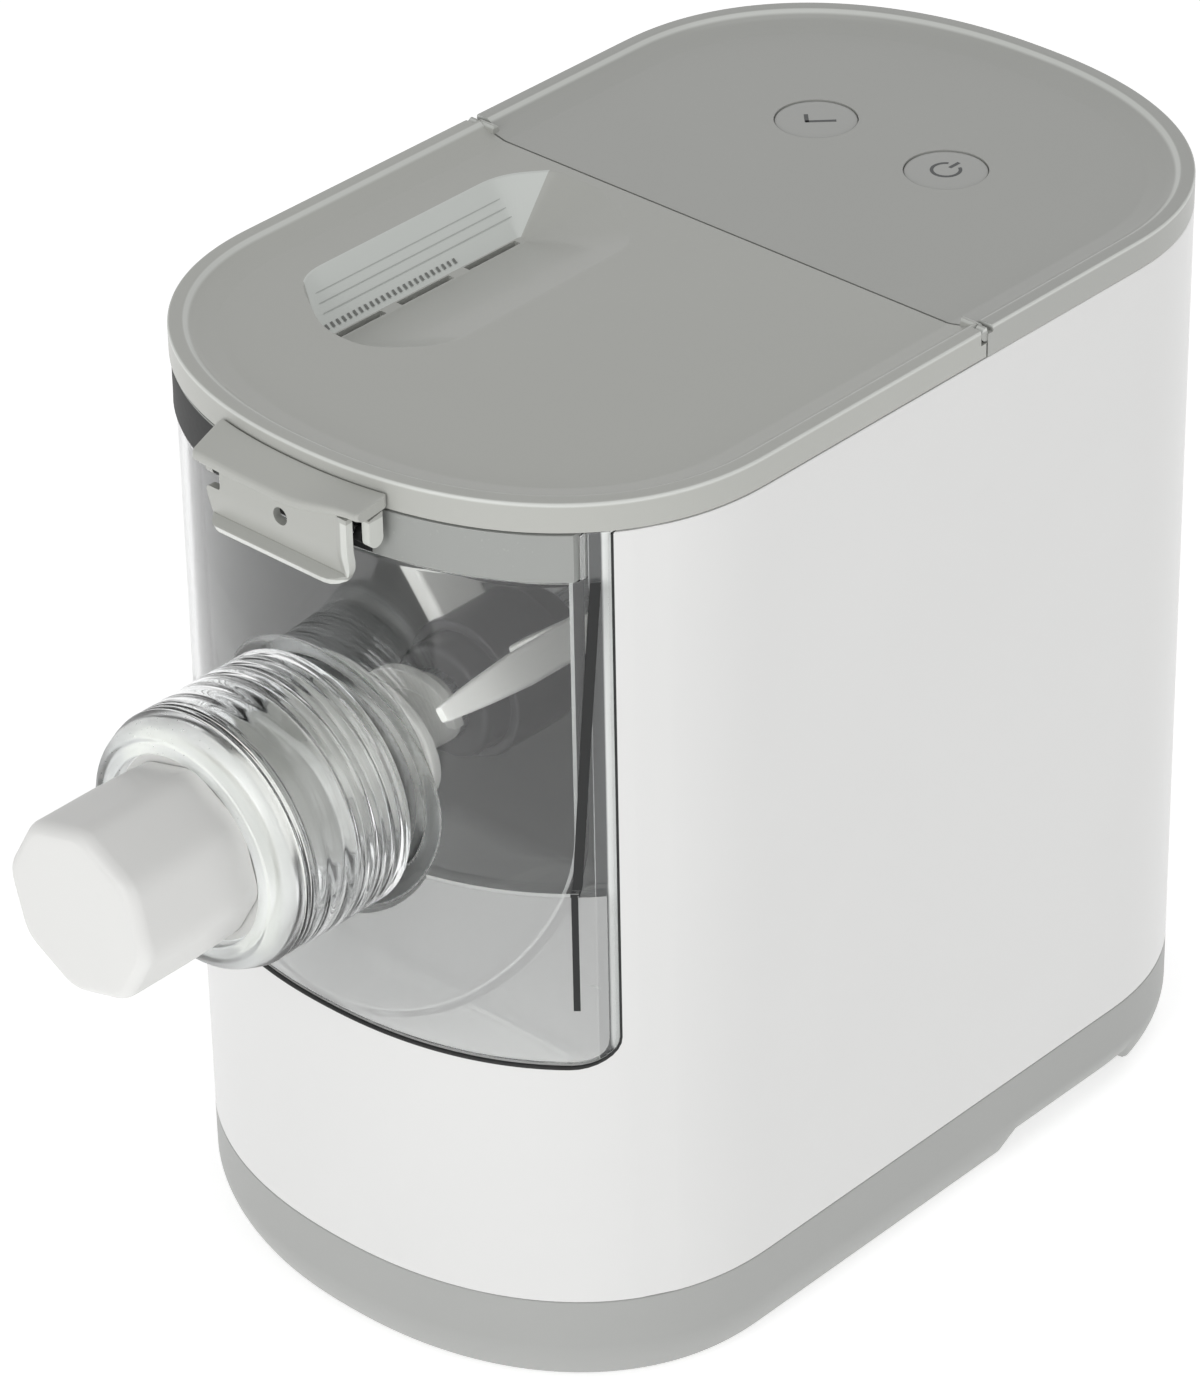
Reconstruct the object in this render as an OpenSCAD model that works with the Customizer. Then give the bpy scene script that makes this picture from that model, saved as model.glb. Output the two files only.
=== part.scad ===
// Electric pasta maker. A long rounded housing stands on a grey base. Its front half is a bay
// that holds a clear mixing cup, whose barrel stands out of the front with a clear clamp nut and
// a white outlet cap. A dished lid with a water scoop closes the cup, and a control panel of the
// same section covers the motor and its gear train at the rear.
// +Z is up, -Y is the front, and the origin is the bottom centre of the whole machine's box.

/* [Body] */
// Width of the body across its straight sides
body_w = 166; // [160:1:180]
// Length of the body, front to rear
body_l = 267; // [260:1:290]
// Height of the body, from the table to the rim on top
body_h = 250; // [245:1:270]
// Length of each rounded end
end_l = 67; // [60:1:74]
// Squareness of the rounded ends, where 2 is an ellipse
end_power = 2.2; // [2:0.1:2.6]
// Wall of the outer housing
housing_wall = 2.6; // [2:0.2:3.4]
// Where the seam between lid and rear panel lies behind the body's middle
seam_y = 10.7; // [8:0.1:13]

/* [Base] */
// Height of the grey base, from the table to the housing
base_h = 26; // [22:1:30]
// How far the bottom edge of the base is tucked in
base_tuck = 4; // [2:0.5:6]
// Thickness of the base's floor
base_floor = 3.4; // [3:0.2:4]
// Radius of each rubber foot
foot_r = 9; // [6:0.5:12]
// Height of the base's floor above the table
foot_h = 2.4; // [2:0.1:3.4]
// Length of the raised finger cut-out in the skirt on each side
notch_l = 50; // [30:1:56]
// Where the middle of that cut-out lies behind the body's middle
notch_y = 54; // [40:1:60]
// Height of that cut-out above the table
notch_h = 4.8; // [3:0.2:5]

/* [Top] */
// Height of the rim round the lid and the rear panel
rim_h = 8; // [7:0.5:10]
// Width of the flat top of the rim
rim_w = 3.6; // [3:0.2:5]
// Width of the ramp from the rim down to the dished top
ramp_w = 8.4; // [6:0.2:10]
// Depth of the dished top below the rim
dish_d = 3; // [2.4:0.1:3.4]
// Thickness of the top skin
skin = 2.4; // [2:0.1:2.8]
// Depth of the water scoop below the dished top
scoop_d = 9.4; // [7:0.2:10]
// Width of the water scoop
scoop_w = 51; // [44:1:54]
// Length of the water scoop
scoop_l = 94; // [80:1:94]
// Width of each water slot
slot_w = 2; // [1.4:0.1:2.6]
// Length of each water slot
slot_l = 18; // [14:0.5:19]
// Radius of each button
button_r = 10.4; // [8:0.2:12]
// Distance between the middles of the two buttons
button_gap = 42; // [36:1:48]
// How far each button travels
button_travel = 1; // [0.6:0.1:1.2]
// Radius of the lid's hinge pins
hinge_pin_r = 0.9; // [0.8:0.05:1]

/* [Cup and bay] */
// Height of the screw's axis above the table
axis_z = 161; // [158:0.5:166]
// Width of the clear mixing cup
cup_w = 129; // [124:1:131]
// Wall of the clear mixing cup
cup_wall = 2.4; // [2:0.1:3]
// Height of the grey collar on the cup
collar_h = 12.6; // [10:0.2:14]
// Width of the window in the housing
window_w = 140; // [138:1:144]
// Radius of the window's lower corners
window_r = 8; // [4:0.5:12]
// Wall of the bay behind the window
bay_wall = 2.2; // [1.8:0.1:2.6]

/* [Barrel and nozzle] */
// Inner radius of the barrel
barrel_r = 21.5; // [20:0.5:23]
// Wall of the barrel
barrel_wall = 5.5; // [4.5:0.5:6]
// How far the barrel's end stands in front of the body
barrel_reach = 29.2; // [24:0.1:36]
// Outer radius of the clamp nut
nut_r = 33; // [32.5:0.25:35]
// Radius of the clamp nut's front opening
nut_hole_r = 24.3; // [22.6:0.1:24.8]
// Thickness of the shaping disc's rim
die_t = 5; // [4:0.5:7]
// Number of noodle slots in the shaping disc
die_slots = 8; // [6:1:10]
// Corner radius of the eight-sided outlet cap
cap_r = 23; // [20:0.5:23]
// Length of the outlet cap in front of the nut
cap_l = 34; // [28:1:40]

/* [Screw and paddle] */
// Radius of the shaft that carries screw and paddle
core_r = 9; // [8:0.5:10]
// Lead of the screw's flight
flight_lead = 17; // [15:1:22]
// Thickness of the screw's flight along the shaft
flight_t = 3.4; // [2.4:0.2:4.4]
// Radius of the dark hub under the paddle
hub_r = 15; // [13:0.5:17]
// Outer radius of the longer paddle arm
paddle_r = 56; // [50:1:58]
// Reach of the shorter paddle arm
near_r = 43; // [40:1:52]
// Angle of the shorter paddle arm above level
paddle_angle = 38; // [0:1:90]

/* [Drive] */
// Teeth on the motor pinion
pinion_teeth = 12; // [12:1:14]
// Teeth on the large idler gear
idler_teeth = 48; // [44:1:50]
// Tooth module of the motor pinion and the large idler gear
first_module = 1.25; // [1.2:0.05:1.3]
// Teeth on the small idler gear
step_teeth = 12; // [12:1:14]
// Teeth on the output gear
output_teeth = 54; // [50:1:56]
// Tooth module of the small idler gear and the output gear
last_module = 1.5; // [1.45:0.05:1.55]
// Radius of the output shaft
output_r = 6; // [5:0.25:7]
// Radius of the idler shaft
idler_r = 4; // [3.5:0.25:4.5]
// Width across the flats of the drive dog
dog_w = 10; // [8:0.25:11]
// Outer radius of the motor can
motor_r = 36; // [32:1:38]
// Room behind the motor can for its fan and the power inlet
rear_room = 32.5; // [32:0.5:40]
// Radius of the motor shaft
motor_shaft_r = 3; // [2.5:0.25:3.5]
// Blades on the cooling fan
fan_blades = 9; // [6:1:12]

/* [Fits] */
// Gap between bodies that pass each other
gap = 0.3; // [0.3:0.05:0.5]
// Radial clearance of a shaft in its bush
run_fit = 0.05; // [0.02:0.01:0.1]
// Radial clearance of a piece pressed on its shaft
press_fit = 0.02; // [0.01:0.01:0.03]
// Gap all round the cup in its bay
cup_gap = 0.5; // [0.4:0.1:0.8]

/* [Hidden] */
$fn = 64;
eps = 0.01;
outline_steps = 16;

deck_z = body_h - rim_h;
dish_z = body_h - dish_d;
lid_bottom = deck_z + gap;
front_y = -body_l / 2;
rear_y = body_l / 2;

skirt_bottom = foot_h / 2;
floor_top = foot_h + base_floor;
base_wall = housing_wall + 0.8;
lip_wall = 1.6;
lip_h = 4;
fit_gap = 0.2;
edge_inset = 0.9;

cup_half = cup_w / 2;
bay_half = cup_half + cup_gap;
bay_outer = bay_half + bay_wall;
bay_floor = axis_z - cup_half - gap;
cup_top = deck_z - 0.4;
clear_top = cup_top - collar_h;
collar_back_top = clear_top + 4.6;
cup_inset = 0.4;
cup_back = seam_y - 5.2;
cup_back_wall = 3;
bay_back = cup_back + cup_gap;
bay_end = bay_back + bay_wall;
bay_inset = housing_wall + fit_gap;
window_bottom = bay_floor - fit_gap;
deck_t = 2.2;
bay_top = deck_z - fit_gap;
front_half = window_w / 2 - cup_gap;
front_back = bay_inset - gap;

barrel_out = barrel_r + barrel_wall;
barrel_end = front_y - barrel_reach;
boss_y = front_y + 8.5;
boss_r = barrel_out + 8;
flange_t = 3;
seal_t = 0.8;
die_back = barrel_end - seal_t - gap;
die_front = die_back - die_t;
nut_bore = barrel_out + 2.6;
nut_back = front_y - 1;
nut_seat = die_front - gap;
nut_rim_t = 6.8;
nut_front = nut_seat - nut_rim_t;
nut_taper = 0.8;
cap_collar_r = nut_hole_r - gap;
cap_front = nut_front - cap_l;
cap_turn = 15;
cap_soft = 4.5;
body_y = -(cap_front + rear_y) / 2;

core_front = barrel_end + 5;
flight_back = front_y + 41;
flight_r = barrel_r - 0.6;
hub_front = flight_back + 2;
hub_l = 37;
ring_y = hub_front + 8;
ring_l = 21;
ring_t = 3;
arm_t = 9;
arm_l = 8;
arm_y = hub_front + 12;
scraper_w = 6;
scraper_back = hub_front + 66;
near_front = boss_y + 3.5;
far_front = boss_y + 10.5;
blade_t = 6;
blade_l = 16;
blade_r = paddle_r - 14;
socket_depth = 12;
shaft_back = cup_back + 4.5;
dog_clear = 0.3;

gear_case_y = bay_end + 4;
case_wall = 3;
case_inner = gear_case_y + case_wall;
output_gear_y = case_inner + 2.3;
output_gear_t = 10;
idler_gear_y = output_gear_y + output_gear_t + 3.5;
idler_gear_t = 7;
case_end = idler_gear_y + idler_gear_t + 6;
case_back = case_end + case_wall;
last_spread = last_module * (step_teeth + output_teeth) / 2;
first_spread = first_module * (pinion_teeth + idler_teeth) / 2;
idler_z = axis_z - last_spread;
motor_z = idler_z - first_spread;
output_case_r = last_module * output_teeth / 2 + last_module + 5;
idler_case_r = first_module * idler_teeth / 2 + first_module + 5;
pinion_case_r = 18;
motor_front = case_back;
motor_back = rear_y - rear_room;
motor_wall = 2.4;
rotor_r = motor_r - 12;
rotor_end = 14;
fan_y = motor_back + 3;
fan_t = 9;
fan_r = motor_r - 7;
motor_shaft_front = idler_gear_y - 1;
motor_shaft_back = fan_y + fan_t + 1;
bush_wall = 3;

knuckle_r = 1.8;
knuckle_l = 5;
ear_w = 2.6;
hinge_z = body_h - knuckle_r;
hinge_relief_r = knuckle_r + gap;
ear_in = body_w / 2 - ear_w;
knuckle_out = ear_in - gap;
knuckle_in = knuckle_out - knuckle_l;
hinge_pin_l = 3.6;
hinge_pin_out = ear_in + 1.4;

scoop_x = -34;
scoop_y = seam_y - 3.2 - scoop_l / 2;
trough_y = scoop_y - 6;
scoop_corner = 14;
trough_x = scoop_x - 11;
trough_w = 3;
trough_l = scoop_l - 24;
pan_wall = 2;
slot_step = trough_l / 3;

button_y = 70;
button_cap_t = 2.6;
button_flange = 1.4;
button_stem_r = 3;
stem_bottom = dish_z - skin - 2.4;
board_t = 1.6;
switch_h = 3.4;
board_top = stem_bottom - button_travel - gap - switch_h;
board_l = 52;
board_w = 92;
post_r = 3;

latch_pin_r = 1;
latch_y = front_y - 1.8;
latch_z = deck_z - 5.5;
latch_w = 53;
lug_r = 2.2;
lug_in = 21.3;
tab_w = 46;
tab_t = 2.2;
tab_back = latch_y - lug_r - gap;
tab_front = tab_back - tab_t;
tab_bottom = clear_top - 5.8;
shelf_top = body_h - 3.4;
shelf_front = tab_front - 2.8;
shelf_low = deck_z - 2.2;
cheek_t = 2.4;
lug_t = 2.2;
latch_hole_r = 2.2;

inlet_w = 30;
inlet_h = 22;
inlet_depth = 17;
inlet_z = base_h + 22;
inlet_pin_r = 1.2;
inlet_pin_gap = 8.6;
vent_w = 34;
vent_h = 2.6;
vent_step = 7;
vent_rows = 6;
vent_z = base_h + 62;
boss_x = body_w / 2 - housing_wall - 5.4;
boss_dy = body_l / 2 - end_l - 10;
screw_r = 1.5;
screw_head_r = 3;
foot_x = body_w / 2 - 30;
foot_y = body_l / 2 - 42;
cradle_t = 6;
bush_h = 4;
bush_r = 6;
cradle_w = 48;
cradle_foot_x = 26;
magnet_r = 4;

white = [0.94, 0.94, 0.93];
grey = [0.64, 0.65, 0.62];
base_grey = [0.66, 0.67, 0.67];
clear = [0.86, 0.89, 0.9, 0.45];
steel = [0.7, 0.71, 0.73];
dark = [0.2, 0.2, 0.21];
bronze = [0.72, 0.55, 0.34];
acetal = [0.9, 0.88, 0.8];
board_green = [0.1, 0.35, 0.2];

// ---------------------------------------------------------------- shared shapes

// Points of one rounded end: a superellipse half, from one side round the tip to the other
function end_points(half_w, length, base_y, side) =
    [for (i = [0 : 2 * outline_steps])
        let (t = i * 90 / outline_steps, c = cos(t), s = sin(t), p = 2 / end_power)
        [side * sign(c) * pow(abs(c), p) * half_w, base_y + side * pow(s, p) * length]];

// The body's outline seen from above, moved inwards by inset
module outline(inset = 0) {
    straight = body_l / 2 - end_l;
    polygon(concat(end_points(body_w / 2 - inset, end_l - inset, straight, 1),
                   end_points(body_w / 2 - inset, end_l - inset, -straight, -1)));
}

module column(inset, z0, z1) {
    translate([0, 0, z0]) linear_extrude(z1 - z0) outline(inset);
}

// A ring of wall between two insets of the outline
module ring(outer, inner, z0, z1) {
    translate([0, 0, z0]) linear_extrude(z1 - z0) difference() {
        outline(outer);
        outline(inner);
    }
}

// A box given by its two corners
module block(low, high) {
    translate(low) cube(high - low);
}

// The same box on the right and on the left
module both_sides() {
    children();
    mirror([1, 0, 0]) children();
}

// The same flat shape on the right and on the left
module both_sides_flat() {
    children();
    mirror([1, 0]) children();
}

// A profile in X and Z carried from y0 to y1
module along_y(y0, y1) {
    translate([0, y1, 0]) rotate([90, 0, 0]) linear_extrude(y1 - y0) children();
}

// A profile in Y and Z carried from x0 to x1
module along_x(x0, x1) {
    translate([x0, 0, 0]) rotate([90, 0, 90]) linear_extrude(x1 - x0) children();
}

// A round bar along Y from y0 to y1
module bar_y(r, y0, y1, z = 0, x = 0) {
    translate([x, y1, z]) rotate([90, 0, 0]) cylinder(h = y1 - y0, r = r);
}

// A tube along Y from y0 to y1
module tube_y(outer, inner, y0, y1, z = 0, x = 0) {
    difference() {
        bar_y(outer, y0, y1, z, x);
        bar_y(inner, y0 - 1, y1 + 1, z, x);
    }
}

// A profile of radius and distance forward of y0, turned about the axis at height z
module turned_y(y0, z) {
    translate([0, y0, z]) rotate([90, 0, 0]) rotate_extrude() children();
}

module bar_x(r, x0, x1, y, z) {
    translate([x0, y, z]) rotate([0, 90, 0]) cylinder(h = x1 - x0, r = r);
}

// Moves the body's middle to its place in the machine's frame
module placed() {
    translate([0, body_y, 0]) children();
}

// The shared section of lid and rear panel: a rim with a small edge, round a dished top
module top_slab(z0) {
    difference() {
        hull() {
            column(0, z0, body_h - edge_inset);
            column(edge_inset, z0, body_h);
        }
        dish();
    }
}

// The hollow of the dished top, with its ramp
module dish() {
    hull() {
        column(rim_w, body_h, body_h + 1);
        column(rim_w + ramp_w, dish_z, body_h + 1);
    }
}

// One tooth gap after another round a gear: a rack-like tooth with rounded flanks
module gear_outline(teeth, m, clearance = 0.14) {
    pitch = teeth * m / 2;
    root = pitch - 1.25 * m;
    tip = pitch + 0.9 * m;
    half = 90 / teeth;
    slack = clearance / pitch * 90 / PI;
    spread = 20;
    function half_angle(r) = let (b = pitch * cos(spread))
        r <= b ? half_angle(b + eps) :
        half - slack + (tan(spread) * 180 / PI - spread)
             - (tan(acos(b / r)) * 180 / PI - acos(b / r));
    radii = [for (i = [0 : 4]) max(root, pitch * cos(spread) + eps)
                               + i * (tip - max(root, pitch * cos(spread) + eps)) / 4];
    low = half_angle(radii[0]);
    polygon([for (k = [0 : teeth - 1]) let (a = k * 360 / teeth) each concat(
        [root * [cos(a - low), sin(a - low)]],
        [for (r = radii) r * [cos(a - half_angle(r)), sin(a - half_angle(r))]],
        [for (i = [4 : -1 : 0]) radii[i] * [cos(a + half_angle(radii[i])),
                                            sin(a + half_angle(radii[i]))]],
        [root * [cos(a + low), sin(a + low)]])]);
}

module gear_y(teeth, m, y0, t, z, turn, bore) {
    difference() {
        translate([0, 0, z]) along_y(y0, y0 + t) rotate(turn) gear_outline(teeth, m);
        bar_y(bore, y0 - 1, y0 + t + 1, z);
    }
}

// ---------------------------------------------------------------- base and housing

module base_tray() color(base_grey) placed() difference() {
    union() {
        difference() {
            hull() {
                column(0, base_h / 2, base_h);
                column(base_tuck * 0.15, base_h * 0.36, base_h);
                column(base_tuck * 0.45, base_h * 0.18, base_h);
                column(base_tuck, skirt_bottom, base_h);
            }
            column(base_wall, floor_top, base_h + 1);
            column(base_tuck + base_wall, 0, foot_h);
        }
        ring(housing_wall + fit_gap, housing_wall + fit_gap + lip_wall,
             base_h - 2, base_h + lip_h);
        both_sides() for (side = [-1, 1]) {
            translate([foot_x, side * foot_y, foot_h]) cylinder(h = 8, r = foot_r - 2);
            translate([boss_x, side * boss_dy, foot_h]) cylinder(h = base_h - foot_h, r = 4.5);
        }
        both_sides() for (y = cradle_places())
            translate([cradle_foot_x, y, foot_h]) cylinder(h = 12, r = bush_r);
    }
    both_sides() for (side = [-1, 1]) {
        translate([foot_x, side * foot_y, 0]) cylinder(h = foot_h + 3, r = 3);
        translate([boss_x, side * boss_dy, 0]) cylinder(h = base_h + 1, r = screw_r + 0.2);
        translate([boss_x, side * boss_dy, 0]) cylinder(h = foot_h + 4, r = screw_head_r + 0.3);
    }
    both_sides() block([body_w / 2 - base_tuck - 3, notch_y - notch_l / 2, 0],
                       [body_w / 2 + 1, notch_y + notch_l / 2, notch_h]);
    for (i = [-3 : 3])
        block([i * 8 - 1.4, rear_y - 62, 0], [i * 8 + 1.4, rear_y - 32, floor_top + 1]);
}

// Where the two motor cradles stand along the body
function cradle_places() = [motor_front + 12, motor_back - 12];

module rubber_feet() color(dark) placed() both_sides() for (side = [-1, 1])
    translate([foot_x, side * foot_y, 0]) {
        cylinder(h = foot_h, r = foot_r);
        cylinder(h = foot_h + 2.8, r = 3 - press_fit);
    }

module base_screws() color(steel) placed() both_sides() for (side = [-1, 1])
    translate([boss_x, side * boss_dy, foot_h + 2]) {
        cylinder(h = 2, r = screw_head_r);
        cylinder(h = base_h + 6, r = screw_r);
    }

// The window's outline in X and Z: straight sides, rounded lower corners, open at the top
module window_outline() {
    top = body_h;
    translate([-window_w / 2, window_bottom + window_r])
        square([window_w, top - window_bottom - window_r]);
    translate([-window_w / 2 + window_r, window_bottom])
        square([window_w - 2 * window_r, window_r + 1]);
    for (side = [-1, 1])
        translate([side * (window_w / 2 - window_r), window_bottom + window_r])
            circle(r = window_r);
}

module outer_housing() color(white) placed() difference() {
    union() {
        ring(0, housing_wall, base_h, deck_z);
        both_sides() for (side = [-1, 1]) difference() {
            union() {
                translate([boss_x, side * boss_dy, base_h + lip_h + fit_gap])
                    cylinder(h = 30, r = 4);
                block([boss_x, side * boss_dy - 1.2, base_h + lip_h + fit_gap],
                      [body_w / 2 - 1, side * boss_dy + 1.2, base_h + lip_h + 30]);
            }
            translate([boss_x, side * boss_dy, base_h]) cylinder(h = 26, r = screw_r + press_fit);
        }
    }
    along_y(front_y - 1, front_y + end_l) window_outline();
    for (row = [0 : vent_rows - 1]) both_sides()
        block([6, rear_y - end_l / 2, vent_z + row * vent_step],
              [6 + vent_w, rear_y + 1, vent_z + row * vent_step + vent_h]);
    block([-inlet_w / 2 - fit_gap, rear_y - end_l / 2, inlet_z - inlet_h / 2 - fit_gap],
          [inlet_w / 2 + fit_gap, rear_y + 1, inlet_z + inlet_h / 2 + fit_gap]);
}

// The grey bay that the cup slides into, with its flanges behind the housing and under the lid
module cup_bay() color(grey) placed() difference() {
    union() {
        intersection() {
            column(bay_inset, bay_floor - bay_wall, bay_top);
            block([-bay_outer, front_y, 0], [bay_outer, bay_end, body_h]);
        }
        intersection() {
            column(bay_inset, bay_top - deck_t, bay_top);
            block([-body_w, front_y, 0], [body_w, bay_end, body_h]);
        }
        intersection() {
            ring(bay_inset, bay_inset + bay_wall, bay_floor - bay_wall, bay_top);
            both_sides() block([bay_half, front_y, 0], [window_w / 2 + 6, 0, body_h]);
        }
        for (x = [-1, 1], z = [-1, 1])
            bar_y(4, bay_end - 1, gear_case_y, axis_z + z * 24, x * 30);
        tube_y(core_r + 6, core_r + 3, bay_end - 1, gear_case_y - 1, axis_z);
    }
    along_y(front_y - 1, bay_back) translate([-bay_half, bay_floor])
        square([2 * bay_half, body_h]);
    bar_y(core_r + 3, 0, gear_case_y + 1, axis_z);
    for (x = [-1, 1], z = [-1, 1])
        bar_y(screw_r, bay_end - 1, gear_case_y + 1, axis_z + z * 24, x * 30);
}

// ---------------------------------------------------------------- top, hinge and buttons

// Room in the rear panel for the lid's knuckles, and for the end of its rim as it swings up
module hinge_relief() {
    both_sides() bar_x(hinge_relief_r, knuckle_in - gap, ear_in, seam_y, hinge_z);
    both_sides() block([knuckle_in - gap, seam_y - 1, hinge_z],
                       [body_w / 2 + 1, seam_y + hinge_relief_r, body_h + 1]);
}

module rear_panel() color(grey) placed() difference() {
    union() {
        difference() {
            intersection() {
                top_slab(deck_z);
                block([-body_w, seam_y + gap, 0], [body_w, rear_y + 1, body_h + 1]);
            }
            intersection() {
                column(housing_wall + lip_wall + fit_gap, deck_z - 1, dish_z - skin);
                block([-body_w, seam_y + 8, 0], [body_w, rear_y, body_h]);
            }
            hinge_relief();
        }
        intersection() {
            ring(bay_inset, bay_inset + lip_wall, deck_z - lip_h, deck_z + 1);
            block([-body_w, seam_y + 8, 0], [body_w, rear_y, body_h]);
        }
        both_sides() bar_x(knuckle_r, ear_in, body_w / 2 - fit_gap, seam_y, hinge_z);
        both_sides() block([ear_in, seam_y, hinge_z - knuckle_r],
                           [body_w / 2 - fit_gap, seam_y + knuckle_r, hinge_z]);
        both_sides() for (side = [-1, 1])
            translate([board_w / 2 - 6, button_y + side * (board_l / 2 - 6), board_top])
                cylinder(h = dish_z - skin - board_top + eps, r = post_r);
    }
    both_sides() bar_x(hinge_pin_r + press_fit, ear_in - 1, hinge_pin_out, seam_y, hinge_z);
    for (side = [-1, 1]) translate([side * button_gap / 2, button_y, dish_z - skin - 1])
        cylinder(h = skin + 2, r = button_r + fit_gap);
}

module hinge_pins() color(steel) placed() both_sides()
    bar_x(hinge_pin_r, hinge_pin_out - hinge_pin_l, hinge_pin_out - eps, seam_y, hinge_z);

// The scoop's hollow: a rounded mouth that narrows to a trough along its steep left side
module scoop_shape(grow, drop) {
    z_top = dish_z - drop;
    z_low = dish_z - scoop_d - drop;
    r = scoop_corner + grow;
    x0 = scoop_x - scoop_w / 2 + scoop_corner;
    x1 = scoop_x + scoop_w / 2 - scoop_corner;
    y0 = scoop_y - scoop_l / 2 + scoop_corner;
    y1 = scoop_y + scoop_l / 2 - scoop_corner;
    hull() {
        for (x = [x0, x1], y = [y0, y1])
            translate([x, y, z_top]) cylinder(h = 0.4, r = r, $fn = 32);
        translate([trough_x - trough_w / 2 - grow / 2, trough_y - trough_l / 2 - grow, z_low])
            cube([trough_w + grow, trough_l + 2 * grow, 1]);
    }
}

module lid() color(grey) placed() difference() {
    union() {
        difference() {
            intersection() {
                top_slab(lid_bottom);
                block([-body_w, front_y - 1, 0], [body_w, seam_y - gap, body_h + 1]);
            }
            intersection() {
                column(bay_inset + lip_wall, lid_bottom - 1, dish_z - skin);
                block([-body_w, front_y, 0], [body_w, seam_y - 3, body_h]);
            }
        }
        scoop_shape(pan_wall, pan_wall);
        both_sides() bar_x(knuckle_r, knuckle_in, knuckle_out, seam_y, hinge_z);
        both_sides() block([knuckle_in, seam_y - 1, hinge_z - knuckle_r],
                           [knuckle_out, seam_y, hinge_z]);
    }
    dish();
    scoop_shape(0, 0);
    for (i = [-1 : 1])
        block([trough_x - slot_w / 2, trough_y + i * slot_step - slot_l / 2, 0],
              [trough_x + slot_w / 2, trough_y + i * slot_step + slot_l / 2, dish_z]);
    both_sides() bar_x(hinge_relief_r, knuckle_out, body_w / 2 + 1, seam_y, hinge_z);
    both_sides() bar_x(hinge_pin_r + run_fit, hinge_pin_out - hinge_pin_l - gap, body_w / 2,
                       seam_y, hinge_z);
}

module lid_liner() color(grey) placed() difference() {
    intersection() {
        column(bay_inset + lip_wall + fit_gap, lid_bottom + fit_gap, dish_z - skin - eps);
        block([-body_w, front_y, 0], [body_w, seam_y - 3 - fit_gap, body_h]);
    }
    hull() for (x = [-1, 1], y = [-1, 1])
        translate([scoop_x + x * (scoop_w / 2 - scoop_corner),
                   scoop_y + y * (scoop_l / 2 - scoop_corner), deck_z])
            cylinder(h = rim_h, r = scoop_corner + pan_wall + fit_gap, $fn = 32);
    translate([magnet_x(), seam_y - 9, deck_z])
        cylinder(h = rim_h, r = magnet_r + press_fit);
}

function magnet_x() = body_w / 4;

module lid_magnet() color(steel) placed()
    translate([magnet_x(), seam_y - 9, lid_bottom + fit_gap])
        cylinder(h = dish_z - skin - lid_bottom - fit_gap - eps, r = magnet_r);

module button(side) placed() translate([side * button_gap / 2, button_y, 0]) {
    translate([0, 0, dish_z - button_cap_t]) cylinder(h = button_cap_t, r = button_r);
    translate([0, 0, dish_z - skin - gap - button_flange])
        cylinder(h = button_flange, r = button_r + 1.2);
    translate([0, 0, stem_bottom])
        cylinder(h = dish_z - button_cap_t - stem_bottom, r = button_stem_r);
}

module start_button() color(grey) button(-1);

module power_button() color(grey) button(1);

// The closed outer shape of a coil spring between the board and a button's flange
module spring(side) placed() translate([side * button_gap / 2, button_y, board_top])
    difference() {
        cylinder(h = dish_z - skin - gap - button_flange - board_top - 0.1, r = 6.4);
        translate([0, 0, -1]) cylinder(h = rim_h * 3, r = 5.2);
    }

module start_spring() color(steel) spring(-1);

module power_spring() color(steel) spring(1);

module control_board() color(board_green) placed()
    block([-board_w / 2, button_y - board_l / 2, board_top - board_t],
          [board_w / 2, button_y + board_l / 2, board_top]);

module tact_switches() color(dark) placed() for (side = [-1, 1])
    translate([side * button_gap / 2, button_y, board_top]) {
        block([-3, -3, 0], [3, 3, switch_h - 1]);
        cylinder(h = switch_h, r = 1.6);
    }

module lid_sensor() color(dark) placed()
    block([magnet_x() - 8, seam_y + 8 + fit_gap, deck_z - 3],
          [magnet_x() + 8, seam_y + 16, dish_z - skin - eps]);

// ---------------------------------------------------------------- power inlet

module power_inlet() color(dark) placed() difference() {
    intersection() {
        union() {
            block([-inlet_w / 2, rear_y - inlet_depth, inlet_z - inlet_h / 2],
                  [inlet_w / 2, rear_y, inlet_z + inlet_h / 2]);
            block([-inlet_w / 2 - 3, rear_y - inlet_depth, inlet_z - inlet_h / 2 - 3],
                  [inlet_w / 2 + 3, rear_y - 5, inlet_z + inlet_h / 2 + 3]);
        }
        column(edge_inset, 0, body_h);
    }
    for (x = [-1, 1]) bar_y(inlet_h / 2 - 6, rear_y - inlet_depth + 4, rear_y + 1, inlet_z,
                            x * inlet_pin_gap / 2);
    block([-inlet_pin_gap / 2, rear_y - inlet_depth + 4, inlet_z - inlet_h / 2 + 6],
          [inlet_pin_gap / 2, rear_y + 1, inlet_z + inlet_h / 2 - 6]);
}

module inlet_pins() color(steel) placed() for (x = [-1, 1])
    bar_y(inlet_pin_r, rear_y - inlet_depth + 4, rear_y - 6, inlet_z, x * inlet_pin_gap / 2);

// ---------------------------------------------------------------- gear train and motor

// The gear case's outline: a cover drawn tight round the circles of the three axes
module case_outline(grow = 0) {
    hull() {
        translate([0, axis_z]) circle(r = output_case_r + grow, $fn = 40);
        translate([0, idler_z]) circle(r = idler_case_r + grow, $fn = 40);
        translate([0, motor_z]) circle(r = pinion_case_r + grow, $fn = 40);
    }
}

// Where the screws that close the gear case stand
function case_screws() = [for (x = [-1, 1], z = [-1, 1]) [x * 30, axis_z + z * 24]];

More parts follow.
